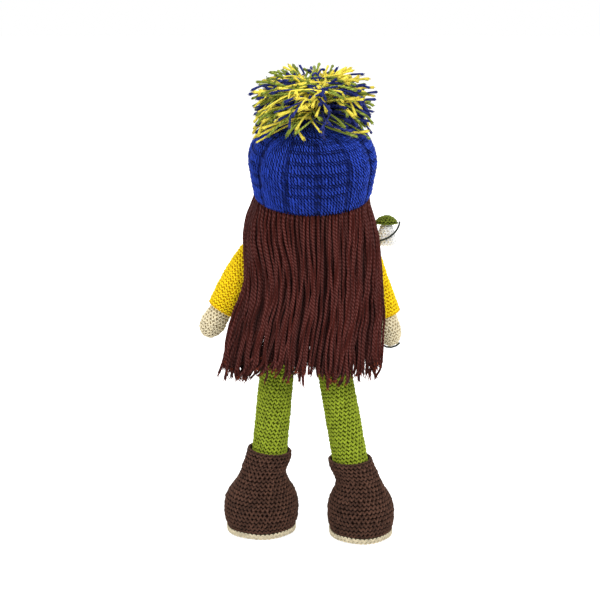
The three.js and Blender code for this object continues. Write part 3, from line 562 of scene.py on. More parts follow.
def wrap(name, axis, path, sides=72, smooth=2):
    """Points on the outside of a CAD node: a row for each (place, rise) of the path."""
    tree = mesh_of(name)
    turn = axis.to_3x3()
    grid = np.full((len(path), sides, 3), np.nan)
    for j, (place, rise) in enumerate(path):
        origin = axis @ Vector(place)
        for i in range(sides):
            angle = 2 * math.pi * i / sides
            flat = math.cos(rise)
            way = turn @ Vector((flat * math.cos(angle), flat * math.sin(angle), math.sin(rise)))
            hit = last_hit(tree, origin, way)
            if hit:
                grid[j, i] = hit
    # a place that no ray met takes that of the next row, from below and then from above
    for j in list(range(1, len(path))) + list(range(len(path) - 2, -1, -1)):
        near = j - 1 if j and not np.isnan(grid[j - 1]).any() else min(j + 1, len(path) - 1)
        missing = np.isnan(grid[j])
        grid[j][missing] = grid[near][missing]
    if np.isnan(grid).any():
        raise RuntimeError(f"rays missed {name}")
    for _ in range(smooth):
        grid = (np.roll(grid, 1, 1) + 2 * grid + np.roll(grid, -1, 1)) / 4
    return grid


def straight(start, end, steps=40):
    """Level rays at places up the axis, from start to end."""
    return [((0, 0, z), 0.0) for z in np.linspace(start, end, steps)]


def fan(z, low, high, steps=20):
    """Rays from one place that rise from low to high, in degrees."""
    return [((0, 0, z), math.radians(rise)) for rise in np.linspace(low, high, steps)]


def lengths(line):
    """How far along the line each of its points is."""
    return np.concatenate([[0], np.cumsum(np.linalg.norm(np.diff(line, axis=0), axis=1))])


def evenly(line, count):
    """Points evenly spaced along the line."""
    far = lengths(line)
    at = np.linspace(0, far[-1], count)
    return np.stack([np.interp(at, far, line[:, k]) for k in range(3)], axis=1)


def girth(ring):
    """The length of a closed ring."""
    return float(np.linalg.norm(np.roll(ring, -1, 0) - ring, axis=1).sum())


def climb(grid):
    """How far up each column its points are, along the surface."""
    step = np.linalg.norm(np.diff(grid, axis=0), axis=2)
    return np.vstack([np.zeros(grid.shape[1]), np.cumsum(step, axis=0)])


def rounds(grid, shares):
    """Rows of points at shares of the way up the surface."""
    far = climb(grid)
    rows = np.empty((len(shares), grid.shape[1], 3))
    for i in range(grid.shape[1]):
        for k in range(3):
            rows[:, i, k] = np.interp(np.asarray(shares) * far[-1, i], far[:, i], grid[:, i, k])
    return rows


def row_count(grid, height):
    """How many rounds of a height go up the grid."""
    return max(1, round(float(np.mean(climb(grid)[-1])) / height))


def outward(grid):
    """Unit normals of the grid."""
    across = np.roll(grid, -1, 1) - np.roll(grid, 1, 1)
    up = np.gradient(grid, axis=0)
    normal = np.cross(across, up)
    size = np.linalg.norm(normal, axis=2, keepdims=True)
    normal = normal / np.maximum(size, 1e-12)
    for end, near in ((0, 1), (-1, -2)):
        weak = size[end, :, 0] < 1e-11
        if weak.any():
            mean = normal[near].mean(0)
            normal[end][weak] = mean / max(np.linalg.norm(mean), 1e-9)
    return normal


def set_points(item, points):
    item.data.vertices.foreach_set("co", np.asarray(points, np.float32).ravel())
    item.data.update()


def scale_map(item, across, up):
    """Names the object's map as the yarn's, and counts it in stitches."""
    layer = item.data.uv_layers.active
    layer.name = YARN_MAP
    uv = np.empty(len(item.data.loops) * 2, np.float32)
    layer.data.foreach_get("uv", uv)
    uv = uv.reshape(-1, 2) * (across, up)
    layer.data.foreach_set("uv", uv.astype(np.float32).ravel())


def sheet_of(name, rows, material, across, up, wall=0.0):
    """A sheet that is closed round its rows, merged at its seam and poles, with a wall inwards."""
    deselect()
    high, wide = rows.shape[:2]
    bpy.ops.mesh.primitive_grid_add(x_subdivisions=wide, y_subdivisions=high - 1, size=1)
    item = named(name, material)
    set_points(item, np.concatenate([rows, rows[:, :1]], axis=1))
    scale_map(item, across, up)
    with edit_mode():
        bpy.ops.mesh.remove_doubles(threshold=1e-6)
        bpy.ops.mesh.dissolve_degenerate(threshold=1e-7)
    bpy.ops.object.shade_smooth()
    if wall:
        solidify = item.modifiers.new("Wall", "SOLIDIFY")
        solidify.thickness = wall
        solidify.offset = -1
        apply_modifiers(item)
    return item


# The stitch and the length of yarn, each modelled once


class Shape:
    """Points, faces and map of a shape that is copied many times."""

    def __init__(self, item, crest):
        data = item.data
        self.points = np.array([v.co for v in data.vertices])
        self.sides = np.array([len(face.vertices) for face in data.polygons])
        self.corners = np.array([i for face in data.polygons for i in face.vertices])
        self.map = np.array([loop.uv for loop in data.uv_layers.active.data])
        self.crest = crest(self.points)
        bpy.data.objects.remove(item)


def model_leg(lean, wide, tall, aside):
    """One leg of a stitch: yarn that stands out along Z, leans, and lies beside the middle."""
    deselect()
    bpy.ops.mesh.primitive_uv_sphere_add(
        segments=6, ring_count=5, radius=1, rotation=(math.pi / 2, 0, 0), location=(0, 0, 0)
    )
    item = named("leg")
    settle(item)
    with edit_mode():
        bpy.ops.transform.resize(value=(wide, tall, 1), center_override=(0, 0, 0))
    points = np.array([v.co for v in item.data.vertices])
    points[:, 0] += aside + lean * points[:, 1]
    set_points(item, points)
    return item


def crest_of(points):
    return np.clip(0.5 + 0.5 * points[:, 2], 0, 1)


def model_stitch():
    """A V of two legs, 1 wide and 1 high."""
    item = model_leg(lean=0.34, wide=0.26, tall=0.58, aside=0.25)
    with edit_mode():
        bpy.ops.mesh.duplicate()
        bpy.ops.transform.resize(value=(-1, 1, 0.9), center_override=(0, 0, 0))
        bpy.ops.mesh.flip_normals()
    return Shape(item, crest_of)


def model_post():
    """A single post of the hat, which leans one way."""
    return Shape(model_leg(lean=-0.55, wide=0.3, tall=0.7, aside=0), crest_of)


def model_yarn(sections):
    """A length of plied yarn along Z, from 0 to 1, with rounded ends."""
    deselect()
    bpy.ops.mesh.primitive_cylinder_add(
        vertices=YARN_SIDES, radius=1, depth=1, location=(0, 0, 0.5), end_fill_type="TRIFAN"
    )
    item = named("length_of_yarn")
    settle(item)
    with edit_mode():
        bpy.ops.mesh.select_mode(type="EDGE")
        bpy.ops.mesh.select_all(action="DESELECT")
        mesh = bmesh.from_edit_mesh(item.data)
        for edge in mesh.edges:
            low, high = (v.co for v in edge.verts)
            edge.select = abs(low.z - high.z) > 0.5
        bmesh.update_edit_mesh(item.data)
        bpy.ops.mesh.subdivide(number_cuts=sections - 1)
        bpy.ops.mesh.select_mode(type="VERT")
    points = np.array([v.co for v in item.data.vertices])
    angle = np.arctan2(points[:, 1], points[:, 0])
    radius = np.hypot(points[:, 0], points[:, 1])
    odd = np.round(angle / (2 * math.pi / YARN_SIDES)).astype(int) % 2 == 1
    radius = np.where(odd, radius * YARN_VALLEY, radius)
    points[:, 0], points[:, 1] = radius * np.cos(angle), radius * np.sin(angle)
    set_points(item, points)
    made = Shape(item, lambda p: np.clip(np.hypot(p[:, 0], p[:, 1]) * 4 - 3, 0.2, 1))
    x, y, z = made.points[made.corners].T
    turn = np.arctan2(y, x) / (2 * math.pi) % 1
    first = np.repeat(np.cumsum(made.sides) - made.sides, made.sides)
    turn -= np.round(turn - turn[first])  # no face runs back over the map's seam
    made.map = np.stack([turn, z], axis=1)
    return made


def model_wisp():
    """A frayed fibre bundle, 1 long along Y, that widens a little and ends in a point."""
    deselect()
    bpy.ops.mesh.primitive_cone_add(
        vertices=3, radius1=1, radius2=0.35, depth=1, location=(0, 0.5, 0),
        rotation=(-math.pi / 2, 0, 0),
    )
    item = named("wisp")
    settle(item)
    return Shape(item, lambda p: np.full(len(p), 0.75))


@functools.cache
def shape(name):
    """The stitch, the post, the wisp, or the yarn for a number of sections."""
    makers = {"stitch": model_stitch, "post": model_post, "wisp": model_wisp}
    return makers[name]() if name in makers else model_yarn(name)


def object_from(name, made, points, tone, materials, which=None, v_scale=None):
    """An object of many copies of a shape. Points are copies by points by 3."""
    count, each = points.shape[:2]
    data = bpy.data.meshes.new(name)
    data.vertices.add(count * each)
    data.vertices.foreach_set("co", points.astype(np.float32).ravel())
    corners = (made.corners[None] + np.arange(count)[:, None] * each).ravel()
    totals = np.tile(made.sides, count)
    data.loops.add(len(corners))
    data.loops.foreach_set("vertex_index", corners.astype(np.int32))
    data.polygons.add(len(totals))
    data.polygons.foreach_set("loop_start", (np.cumsum(totals) - totals).astype(np.int32))
    data.polygons.foreach_set("loop_total", totals.astype(np.int32))
    if which is not None:
        index = np.repeat(which, len(made.sides)).astype(np.int32)
        data.polygons.foreach_set("material_index", index)
    uv = np.tile(made.map[None], (count, 1, 1))
    if v_scale is not None:
        start = 7 * np.reshape(tone, (-1, 1))  # so that no two strands' plies line up
        uv[:, :, 1] = uv[:, :, 1] * np.reshape(v_scale, (-1, 1)) + start
    data.uv_layers.new(name=YARN_MAP).data.foreach_set("uv", uv.astype(np.float32).ravel())
    tones = data.attributes.new("tone", "FLOAT", "POINT")
    tones.data.foreach_set("value", np.repeat(tone, each).astype(np.float32))
    crests = data.attributes.new("crest", "FLOAT", "POINT")
    crests.data.foreach_set("value", np.tile(made.crest, count).astype(np.float32))
    data.update(calc_edges=True)
    data.validate()
    data.polygons.foreach_set("use_smooth", np.ones(len(totals), bool))
    for material in materials:
        data.materials.append(material)
    item = bpy.data.objects.new(name, data)
    bpy.context.scene.collection.objects.link(item)
    return item


class Places:
    """Where copies of a shape go: place, three ways with their sizes, and tone."""

    def __init__(self):
        self.rows = []

    def add(self, place, across, up, out, tone):
        self.rows.append([np.asarray(a, float) for a in (place, across, up, out)] + [tone])

    def all(self):
        parts = [np.concatenate([row[k] for row in self.rows]) for k in range(4)]
        return parts, np.concatenate([row[4] for row in self.rows])

    def keep(self, wanted):
        """Leaves out the copies whose places aren't wanted."""
        parts, tone = self.all()
        chosen = wanted(parts[0])
        self.rows = [[p[chosen] for p in parts] + [tone[chosen]]]

    def build(self, name, made, materials):
        (place, across, up, out), tone = self.all()
        x, y, z = (made.points[:, k][None, :, None] for k in range(3))
        points = place[:, None] + x * across[:, None] + y * up[:, None] + z * out[:, None]
        return object_from(name, made, points, tone, materials)


def unit(vectors):
    return vectors / np.maximum(np.linalg.norm(vectors, axis=-1, keepdims=True), 1e-12)


def around(ring, at):
    """Points round a closed ring at shares of its length, and their columns with fractions."""
    closed = np.vstack([ring, ring[:1]])
    far = lengths(closed)
    place = (np.asarray(at) % 1) * far[-1]
    points = np.stack([np.interp(place, far, closed[:, k]) for k in range(3)], axis=1)
    return points, np.interp(place, far, np.arange(len(far)))


def at_columns(row, index):
    """Points of a closed row at columns with fractions."""
    low = np.floor(index).astype(int) % len(row)
    part = (index % 1)[:, None]
    return row[low] * (1 - part) + row[(low + 1) % len(row)] * part


def stitch_rounds(grid, random, width, height, depth, lean=0.37, columns=None, turn=0,
                  relief=None, span=1.0):
    """Places for stitches in rounds all over the grid.

    Lean is how far each round starts past the last, in stitches, and span how tall a stitch is for
    its row. Where columns gives the number of stitches for a round's length, they line up. Relief
    gives how far each stands out, how tall it is, and how much painted shade darkens it.
    """
    places = Places()
    count = row_count(grid, height)
    edges = rounds(grid, np.linspace(0, 1, count + 1))
    for k, ring in enumerate(rounds(grid, (np.arange(count) + 0.5) / count)):
        size = girth(ring)
        n = columns(size) if columns else max(LEAST_STITCHES, round(size / width))
        at = (np.arange(n) + (0.5 if columns else (k * lean) % 1)) / n + turn
        if columns:
            index = (at % 1) * len(ring)
            here = at_columns(ring, index)
            after, before = np.roll(here, -1, 0), np.roll(here, 1, 0)
            step = np.linalg.norm(after - before, axis=1, keepdims=True) / 2
        else:
            here, index = around(ring, at)
            after, before = around(ring, at + 0.5 / n)[0], around(ring, at - 0.5 / n)[0]
            step = size / n
        across = unit(after - before)
        up = at_columns(edges[k + 1], index) - at_columns(edges[k], index)
        tall = np.linalg.norm(up, axis=1, keepdims=True)
        out = unit(np.cross(across, unit(up)))
        jitter = 1 + UNEVEN_SIZE * random.standard_normal((n, 1))
        stretch = np.maximum(1, SHORTEST * height / np.maximum(tall, 1e-9))
        stretch = stretch * np.clip(jitter, 0.8, 1.2)
        # shadow is painted shade, which lowers the stitch's tone
        stand, tall_share, shadow = relief(k, at) if relief else (np.ones((n, 1)), span, 0.0)
        sway = across * width * UNEVEN_SWAY * random.standard_normal((n, 1))
        scatter = UNEVEN_PLACE * height * random.standard_normal((n, 3))
        places.add(
            here + scatter - out * depth * (1 - stand), across * step,
            up * stretch * tall_share + sway, out * depth * jitter,
            random.random(n) - np.ravel(shadow),
        )
    return places


def edge_round(places, ring, up, out, random, width, height, depth):
    """A round of stitches along a rim. Up and out are arrays, one for each point of the ring."""
    size = girth(ring)
    n = max(LEAST_STITCHES, round(size / width))
    at = np.arange(n) / n
    here, index = around(ring, at)
    across = unit(around(ring, at + 0.5 / n)[0] - around(ring, at - 0.5 / n)[0])
    jitter = 1 + 0.06 * random.standard_normal((n, 1))
    places.add(
        here, across * size / n, unit(at_columns(up, index)) * height * jitter,
        unit(at_columns(out, index)) * depth * jitter, random.random(n),
    )


def crocheted(name, grid, key, seed, wall=2.0 * MM, rims=(), width=None, height=None,
              depth=None, wanted=None, kind="stitch", **pattern):
    """A piece of crochet: its ground, the stitches over it, and a round along each rim."""
    random = np.random.default_rng(SEED + seed)
    width = width or sizes().stitch_width
    height = height or sizes().row_height
    depth = depth or sizes().stitch_depth
    count = row_count(grid, height)
    rows = rounds(grid, np.linspace(0, 1, 2 * count + 1))
    share = np.where(np.arange(len(rows)) % 2 == 0, GROOVE_DEPTH, GROUND_DEPTH)
    low = rows - outward(rows) * share[:, None, None] * depth
    stitches_round = round(max(girth(row) for row in grid) / width)
    ground = sheet_of(name, low, ground_of(key), stitches_round, count, wall)
    normal = outward(grid)
    places = stitch_rounds(grid - normal * depth * SUNK, random, width, height, depth, **pattern)
    for end in rims:
        row, near = (0, 1) if end == "low" else (-1, -2)
        ring = grid[row] - normal[near] * wall * 0.5
        away = unit(grid[row] - grid[near])
        edge_round(places, ring, normal[near], away, random, width, wall * 1.15, depth)
    if wanted:
        places.keep(wanted)
    stitches = places.build(name + "_stitches", shape(kind), [yarn_of(key)])
    return join(name, [ground, stitches])


def dress(node_name, name, body, slot, key, seed, axis, path, fill=0.8, sides=72, **settings):
    """Crochets over a CAD node along a path of rays, and finishes the piece."""
    grid = wrap(node_name, axis, path, sides)
    item = crocheted(name, grid, key, seed, **settings)
    return finish(item, body, slot, node_name, fill=fill)


# Yarn along lines


def strands(name, lines, radius, tone, materials, which=None, pitch=YARN_PITCH,
            reference=SIDEWAYS, flare=0.0, taper=0.0):
    """Lengths of plied yarn along lines. Lines are strands by points by 3."""
    lines = np.asarray(lines, float)
    count, sections = lines.shape[:2]
    made = shape(sections - 1)
    step = np.linalg.norm(np.diff(lines, axis=1), axis=2)
    long = np.concatenate([np.zeros((count, 1)), np.cumsum(step, axis=1)], axis=1)
    along = unit(np.gradient(lines, axis=1))
    side = np.broadcast_to(np.asarray(reference, float), lines.shape)
    side = unit(side - (side * along).sum(2, keepdims=True) * along)
    other = np.cross(along, side)
    x, y, z = made.points.T
    level = np.clip(np.round(z * (sections - 1)).astype(int), 0, sections - 1)
    reach, spin = np.hypot(x, y), np.arctan2(y, x)
    along_turn = 2 * math.pi * long[:, level] / (STRAND_TURN * pitch)
    turn = spin[None] + along_turn + TONE_TURN * tone[:, None]
    share = level / (sections - 1)
    swell = 1 + flare * share[None] ** 8 - taper * share[None] ** 6
    thick = np.reshape(radius, (-1, 1)) * reach[None] * swell
    points = (
        lines[:, level] + (thick * np.cos(turn))[..., None] * side[:, level]
        + (thick * np.sin(turn))[..., None] * other[:, level]
    )
    ends = reach < 0.01  # the middles of the two ends stand out a little
    outwards = np.where(share[ends] > 0.5, 0.5, -0.5)[None, :, None]
    points[:, ends] += along[:, level[ends]] * outwards * np.reshape(radius, (-1, 1, 1))
    return object_from(name, made, points, tone, materials, which, long[:, -1] / pitch)


def frayed(name, lines, radius, random, tone, materials, long, spread_out, which=None):
    """Wisps of fibre at the cut ends of strands, long times as long as the strand is thick."""
    end = np.repeat(lines[:, -1], WISPS, axis=0)
    along = np.repeat(unit(lines[:, -1] - lines[:, -2]), WISPS, axis=0)
    sideways = random.standard_normal(end.shape)
    sideways = unit(sideways - (sideways * along).sum(1, keepdims=True) * along)
    way = unit(along + sideways * spread_out * random.random((len(end), 1)))
    thick = np.repeat(radius, WISPS)[:, None]
    far = long * thick[:, 0] * (0.5 + random.random(len(end)))
    out = np.cross(way, sideways)
    across = np.cross(way, out)
    thick = 0.42 * thick
    made = shape("wisp")
    x, y, z = (made.points[:, k][None, :, None] for k in range(3))
    start = end + sideways * thick * 0.8 - along * thick
    points = (
        start[:, None] + x * (across * thick)[:, None] + y * (way * far[:, None])[:, None]
        + z * (out * thick)[:, None]
    )
    kind = None if which is None else np.repeat(which, WISPS)
    return object_from(name, made, points, np.repeat(tone, WISPS), materials, kind)


def spine(name, parts=9):
    """The middle line of a CAD node that is long across the doll."""
    points = np.array([v.co for v in frame["nodes"][name].data.vertices])
    far = points[:, 0]
    low, high = far.min(), far.max()
    at = np.clip(((far - low) / (high - low) * parts).astype(int), 0, parts - 1)
    return np.array([points[at == k].mean(0) for k in range(parts) if (at == k).any()])


def even(line, count):
    """The line with points evenly spaced along it, smoothed."""
    line = np.asarray(line, float)
    for _ in range(3):
        line = evenly(line, max(count, len(line)))
        line[1:-1] = (line[:-2] + 2 * line[1:-1] + line[2:]) / 4
    at = np.linspace(0, len(line) - 1, count)
    return np.stack([np.interp(at, np.arange(len(line)), line[:, k]) for k in range(3)], axis=1)


def stuffed(name, body, seed):
    """Loose fibre filling in the space of its CAD node, a little lumpy."""
    deselect()
    source = frame["nodes"][name]
    item = source.copy()
    item.data = source.data.copy()
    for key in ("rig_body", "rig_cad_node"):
        if key in item:
            del item[key]
    item.parent = None
    bpy.context.scene.collection.objects.link(item)
    item.hide_render = item.hide_viewport = False
    activate(item)
    named(name + "_fibre", speckled("fibre filling", shade(236, 234, 228), 0.8, 500, 0.8, 0.4 * MM))
    with edit_mode():
        bpy.ops.mesh.remove_doubles(threshold=1e-6)
    remesh = item.modifiers.new("Fibre", "REMESH")
    remesh.mode = "VOXEL"
    remesh.voxel_size = 1.6 * MM
    smooth = item.modifiers.new("Soften", "SMOOTH")
    smooth.factor = 0.5
    smooth.iterations = 6
    apply_modifiers(item)
    points = np.array([v.co for v in item.data.vertices])
    normals = np.array([v.normal for v in item.data.vertices])
    # the lumps are three waves that cross, with 900 radians in a metre
    ways = np.array([[1, 0.4, 0.2], [0.3, 1, -0.5], [-0.2, 0.5, 1]])
    starts = np.random.default_rng(SEED + seed).random(len(ways)) * 6.28
    lumps = sum(np.sin(points @ way * 900 + start) for way, start in zip(ways, starts))
    set_points(item, points - normals * (0.9 + 0.15 * lumps[:, None]) * MM)
    bpy.ops.object.shade_smooth()
    return finish(item, body, "filling", name, fill=0.8)


# The operators, in the order in which they run


class DOLL_OT_stage(bpy.types.Operator):
    """Places the camera, the floor and the soft studio light"""

    bl_idname = "doll.stage"
    bl_label = "Stage"

    camera_place = (0.00044, 0.99517, 0.4)
    camera_fall = math.radians(13)
    sensor = 36  # in millimetres
    focal_share = 1471 / 600  # the focal length as a share of the picture's width, both in pixels
    target = Vector((0, 0, 0.18))
    lamps = (  # place, size and power
        ((-0.9, 1.3, 1.5), 0.9, 21.0),
        ((1.2, 0.9, 0.9), 1.0, 8.0),
        ((0.4, -1.4, 1.2), 1.2, 19.0),
    )
    sky_light = 0.6  # on the doll; where the camera sees the sky, it is 1
    paper_glow = 0.62  # for the camera only, so that the paper shows white

    def execute(self, context):
        deselect()
        bpy.ops.object.camera_add(
            location=self.camera_place, rotation=(math.radians(90) - self.camera_fall, 0, math.pi)
        )
        camera = context.object
        camera.data.sensor_width = self.sensor
        camera.data.lens = self.sensor * self.focal_share
        camera.data.clip_start = 0.01
        context.scene.camera = camera
        self.light(context)
        self.floor()
        return {"FINISHED"}

    def light(self, context):
        """A plain white world, and three large soft lamps."""
        world = bpy.data.worlds.new("studio")
        context.scene.world = world
        world.use_nodes = True
        tree = world.node_tree
        tree.nodes.clear()
        path = node(tree, "ShaderNodeLightPath")
        seen = maths(tree, "MAXIMUM", path.outputs["Is Camera Ray"], path.outputs["Is Glossy Ray"])
        seen = maths(tree, "MAXIMUM", seen, path.outputs["Is Transmission Ray"])
        strength = maths(tree, "MULTIPLY_ADD", seen, 1 - self.sky_light, self.sky_light)
        sky = node(tree, "ShaderNodeBackground", {"Color": (1, 1, 1, 1), "Strength": strength})
        node(tree, "ShaderNodeOutputWorld", {0: sky.outputs[0]})
        for place, size, power in self.lamps:
            deselect()
            bpy.ops.object.light_add(type="AREA", location=place)
            lamp = context.object
            lamp.data.size = size
            lamp.data.energy = power
            way = self.target - Vector(place)
            lamp.rotation_euler = way.to_track_quat("-Z", "Y").to_euler()

    def floor(self):
        deselect()
        bpy.ops.mesh.primitive_plane_add(size=14, location=(0, 0, 0))
        material, tree, shader = new_material(
            "white paper",
            {"Roughness": 0.9, "Specular IOR Level": 0.0, "Emission Color": (1, 1, 1, 1)},
        )
        grain = noise(tree, 300)
        tint = blend_colours(tree, grain, (0.8, 0.8, 0.8, 1), (0.82, 0.82, 0.82, 1))
        tree.links.new(tint, shader.inputs["Base Color"])
        seen = node(tree, "ShaderNodeLightPath").outputs["Is Camera Ray"]
        glow = maths(tree, "MULTIPLY", seen, self.paper_glow)
        tree.links.new(glow, shader.inputs["Emission Strength"])
        named("floor", material)


class DOLL_OT_head(bpy.types.Operator):
    """Crochets the head over its filling and the roll that holds the neck"""

    bl_idname = "doll.head"
    bl_label = "Head"

    def execute(self, context):
        def bare(points):
            """Which of the points the hat doesn't hide."""
            return hat_local(points)[:, 2] < BRIM_HEIGHT + 3 * MM

        dress("head_skin", "head", "doll", "skin", "skin", 1, standing(HEAD_CENTRE),
              fan(0, -72, 90, 70), fill=0.9, wanted=bare, depth=SKIN_DEPTH, **FINE_GAUGE)
        stuffed("head_filling", "doll", 2)
        stuffed("neck_roll", "doll", 3)
        return {"FINISHED"}


class DOLL_OT_face(bpy.types.Operator):
    """Sets the eyes and embroiders the nose, the mouth and the brows"""

    bl_idname = "doll.face"
    bl_label = "Face"

    eye_radius = 4.1 * MM
    eye_height = 3 * MM
    shank_radius = 1.8 * MM
    ribs = (  # of the shank, from the eye inwards: each one's length, and its end's share in width
        (1.5 * MM, 1.22), (0.6 * MM, 0.82), (1.5 * MM, 1.22), (0.6 * MM, 0.82), (1.5 * MM, 1.22),
    )
    stitch_radius = 0.75 * MM  # of the mouth's and the brows' yarn

    def execute(self, context):
        for side in ("left", "right"):
            self.eye(side)
        self.nose()
        for name, slot, key in (
            ("mouth", "mouth", "lips"), ("left_brow", "hair", "hair"), ("right_brow", "hair", "hair"),
        ):
            line = even(spine(name), 22)
            out = unit(line - np.array(HEAD_CENTRE))
            line += out * 0.1 * MM
            item = strands(name + "_yarn", line[None], self.stitch_radius, np.array([0.5]),
                           [yarn_of(key)], pitch=4 * MM, reference=out[None], taper=0.5)
            finish(item, "doll", slot, name)
        return {"FINISHED"}

    def eye(self, side):
        """A glossy domed safety eye on its ribbed shank, with the washer behind the skin."""
        name = side + "_eye"
        way = (middle(name) - HEAD_CENTRE).normalized()
        front = last_hit(mesh_of(name), HEAD_CENTRE, way)
        deselect()
        bpy.ops.mesh.primitive_uv_sphere_add(segments=32, ring_count=16, radius=self.eye_radius)
        item = named(name + "_dome")
        flatter = self.eye_height / self.eye_radius
        with edit_mode():
            bpy.ops.mesh.bisect(
                plane_co=(0, 0, 0), plane_no=(0, 0, 1), clear_inner=True, use_fill=True
            )
            bpy.ops.transform.resize(value=(1, 1, flatter), center_override=(0, 0, 0))
            dome = bmesh.from_edit_mesh(item.data)
            bpy.ops.mesh.select_mode(type="FACE")
            bpy.ops.mesh.select_all(action="DESELECT")
            dome.faces.ensure_lookup_table()
            for face in dome.faces:
                face.select = abs(face.calc_center_median().z) < 1e-6 and len(face.verts) > 8
            bmesh.update_edit_mesh(item.data)
            bpy.ops.mesh.inset(thickness=self.eye_radius - self.shank_radius)
            for drop, wider in self.ribs:
                bpy.ops.mesh.extrude_region_move(TRANSFORM_OT_translate={"value": (0, 0, -drop)})
                bpy.ops.transform.resize(value=(wider, wider, 1))
            bpy.ops.mesh.select_mode(type="VERT")
        cover(item, speckled("eye plastic", shade(12, 9, 8), 0.7, 400, 0.1, 0.005 * MM,
                             {"Specular IOR Level": 0.25}))
        item.rotation_mode = "QUATERNION"
        item.rotation_quaternion = way.to_track_quat("Z", "Y")
        item.location = front - way * self.eye_height
        settle(item)
        bpy.ops.object.shade_smooth_by_angle(angle=math.radians(40))
        finish(item, "doll", "eye", name)
        cover(frame["nodes"][side + "_eye_washer"],
              speckled("washer plastic", shade(235, 235, 230), 0.9, 300, 0.35, 0.02 * MM))

    def nose(self):
        """A small nose of stitches side by side over a padded bump."""
        grid = wrap("nose", aimed(middle("nose"), (1, 0, 0)), fan(0, -88, 88, 14), sides=24)
        base = sheet_of("nose", rounds(grid, np.linspace(0, 1, 9)), ground_of("lips"), 8, 4)
        lines = []
        for row in rounds(grid, np.linspace(0.06, 0.94, 7)):
            front = row[np.argsort(row[:, 2])]
            keep = front[front[:, 1] < np.median(row[:, 1]) + 0.4 * MM]
            lines.append(even(keep[::2], 8))
        count = len(lines)
        stitches = strands("nose_yarn", np.array(lines), np.full(count, 0.55 * MM),
                           np.linspace(0.2, 0.8, count), [yarn_of("lips")], pitch=3 * MM)
        finish(join("nose_stitches", [base, stitches]), "doll", "skin", "nose")


class DOLL_OT_body(bpy.types.Operator):
    """Crochets the sweater and the seat of the trousers over the filling"""

    bl_idname = "doll.body"
    bl_label = "Body"

    def execute(self, context):
        low, high = (end.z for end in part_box("sweater"))
        dress("sweater", "sweater_crochet", "doll", "sweater", "sweater", 11,
              upright("sweater", aside=1 * MM), straight(low + EDGE, high - EDGE, 60), rims=("low",))
        low, high = (end.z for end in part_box("trousers_seat"))
        path = fan(low + 7 * MM, -POLE, 0, 40) + straight(low + 7.5 * MM, high - EDGE, 12)
        dress("trousers_seat", "trousers_crochet", "doll", "trousers", "trousers", 12,
              upright("trousers_seat"), path)
        stuffed("body_filling", "doll", 13)
        return {"FINISHED"}


class DOLL_OT_arms(bpy.types.Operator):
    """Crochets the arms and their sleeves"""

    bl_idname = "doll.arms"
    bl_label = "Arms"

    splay = {"left": math.radians(31.7), "right": math.radians(18.8)}
    arm_length = 69 * MM
    sleeve_length = 45.5 * MM
    hand_height = 11.5 * MM  # the middle of the hand, from its tip

    def execute(self, context):
        for k, (name, side) in enumerate((("left", 1), ("right", -1))):
            shoulder = joint_place(name + "_shoulder")
            angle = self.splay[name]
            way = Vector((side * math.sin(angle), 0, -math.cos(angle)))
            axis = aimed(shoulder + way * self.arm_length, -way)
            top = self.arm_length - 1 * MM
            path = straight(self.arm_length - self.sleeve_length + EDGE, top, 40)
            path += fan(top, 5, POLE, 20)
            dress(name + "_sleeve", name + "_sleeve_crochet", name + "_arm", "sweater", "sweater",
                  21 + k, axis, path, fill=0.6, sides=48, rims=("low",), wall=1.9 * MM,
                  lean=0.2, span=0.95, **FINE_GAUGE)
            path = fan(self.hand_height, -POLE, -4, 24)
            path += straight(self.hand_height + 0.2 * MM, self.arm_length - 3.5 * MM, 30)
            dress(name + "_arm", name + "_arm_crochet", name + "_arm", "skin", "skin", 23 + k,
                  axis, path, sides=48, wall=1.4 * MM, width=2.6 * MM, height=2.35 * MM,
                  depth=SKIN_DEPTH)
            stuffed(name + "_arm_filling", name + "_arm", 25 + k)
        return {"FINISHED"}


class DOLL_OT_legs(bpy.types.Operator):
    """Crochets the trouser legs over their filling"""

    bl_idname = "doll.legs"
    bl_label = "Legs"

    ankles = {"left": (23.34, -4.83, 47), "right": (-36.56, 3.67, 47)}  # in millimetres

    def execute(self, context):
        for k, name in enumerate(("left", "right")):
            hip = joint_place(name + "_hip")
            ankle = Vector(self.ankles[name]) * MM
            long = (hip - ankle).length
            path = straight(0.4 * MM, long, 60) + fan(long, 3, POLE, 24)
            dress(name + "_leg", name + "_leg_crochet", name + "_leg", "trousers", "trousers",
                  31 + k, aimed(ankle, hip - ankle), path, sides=48, lean=0.2, span=0.96)
            stuffed(name + "_leg_filling", name + "_leg", 33 + k)
        return {"FINISHED"}


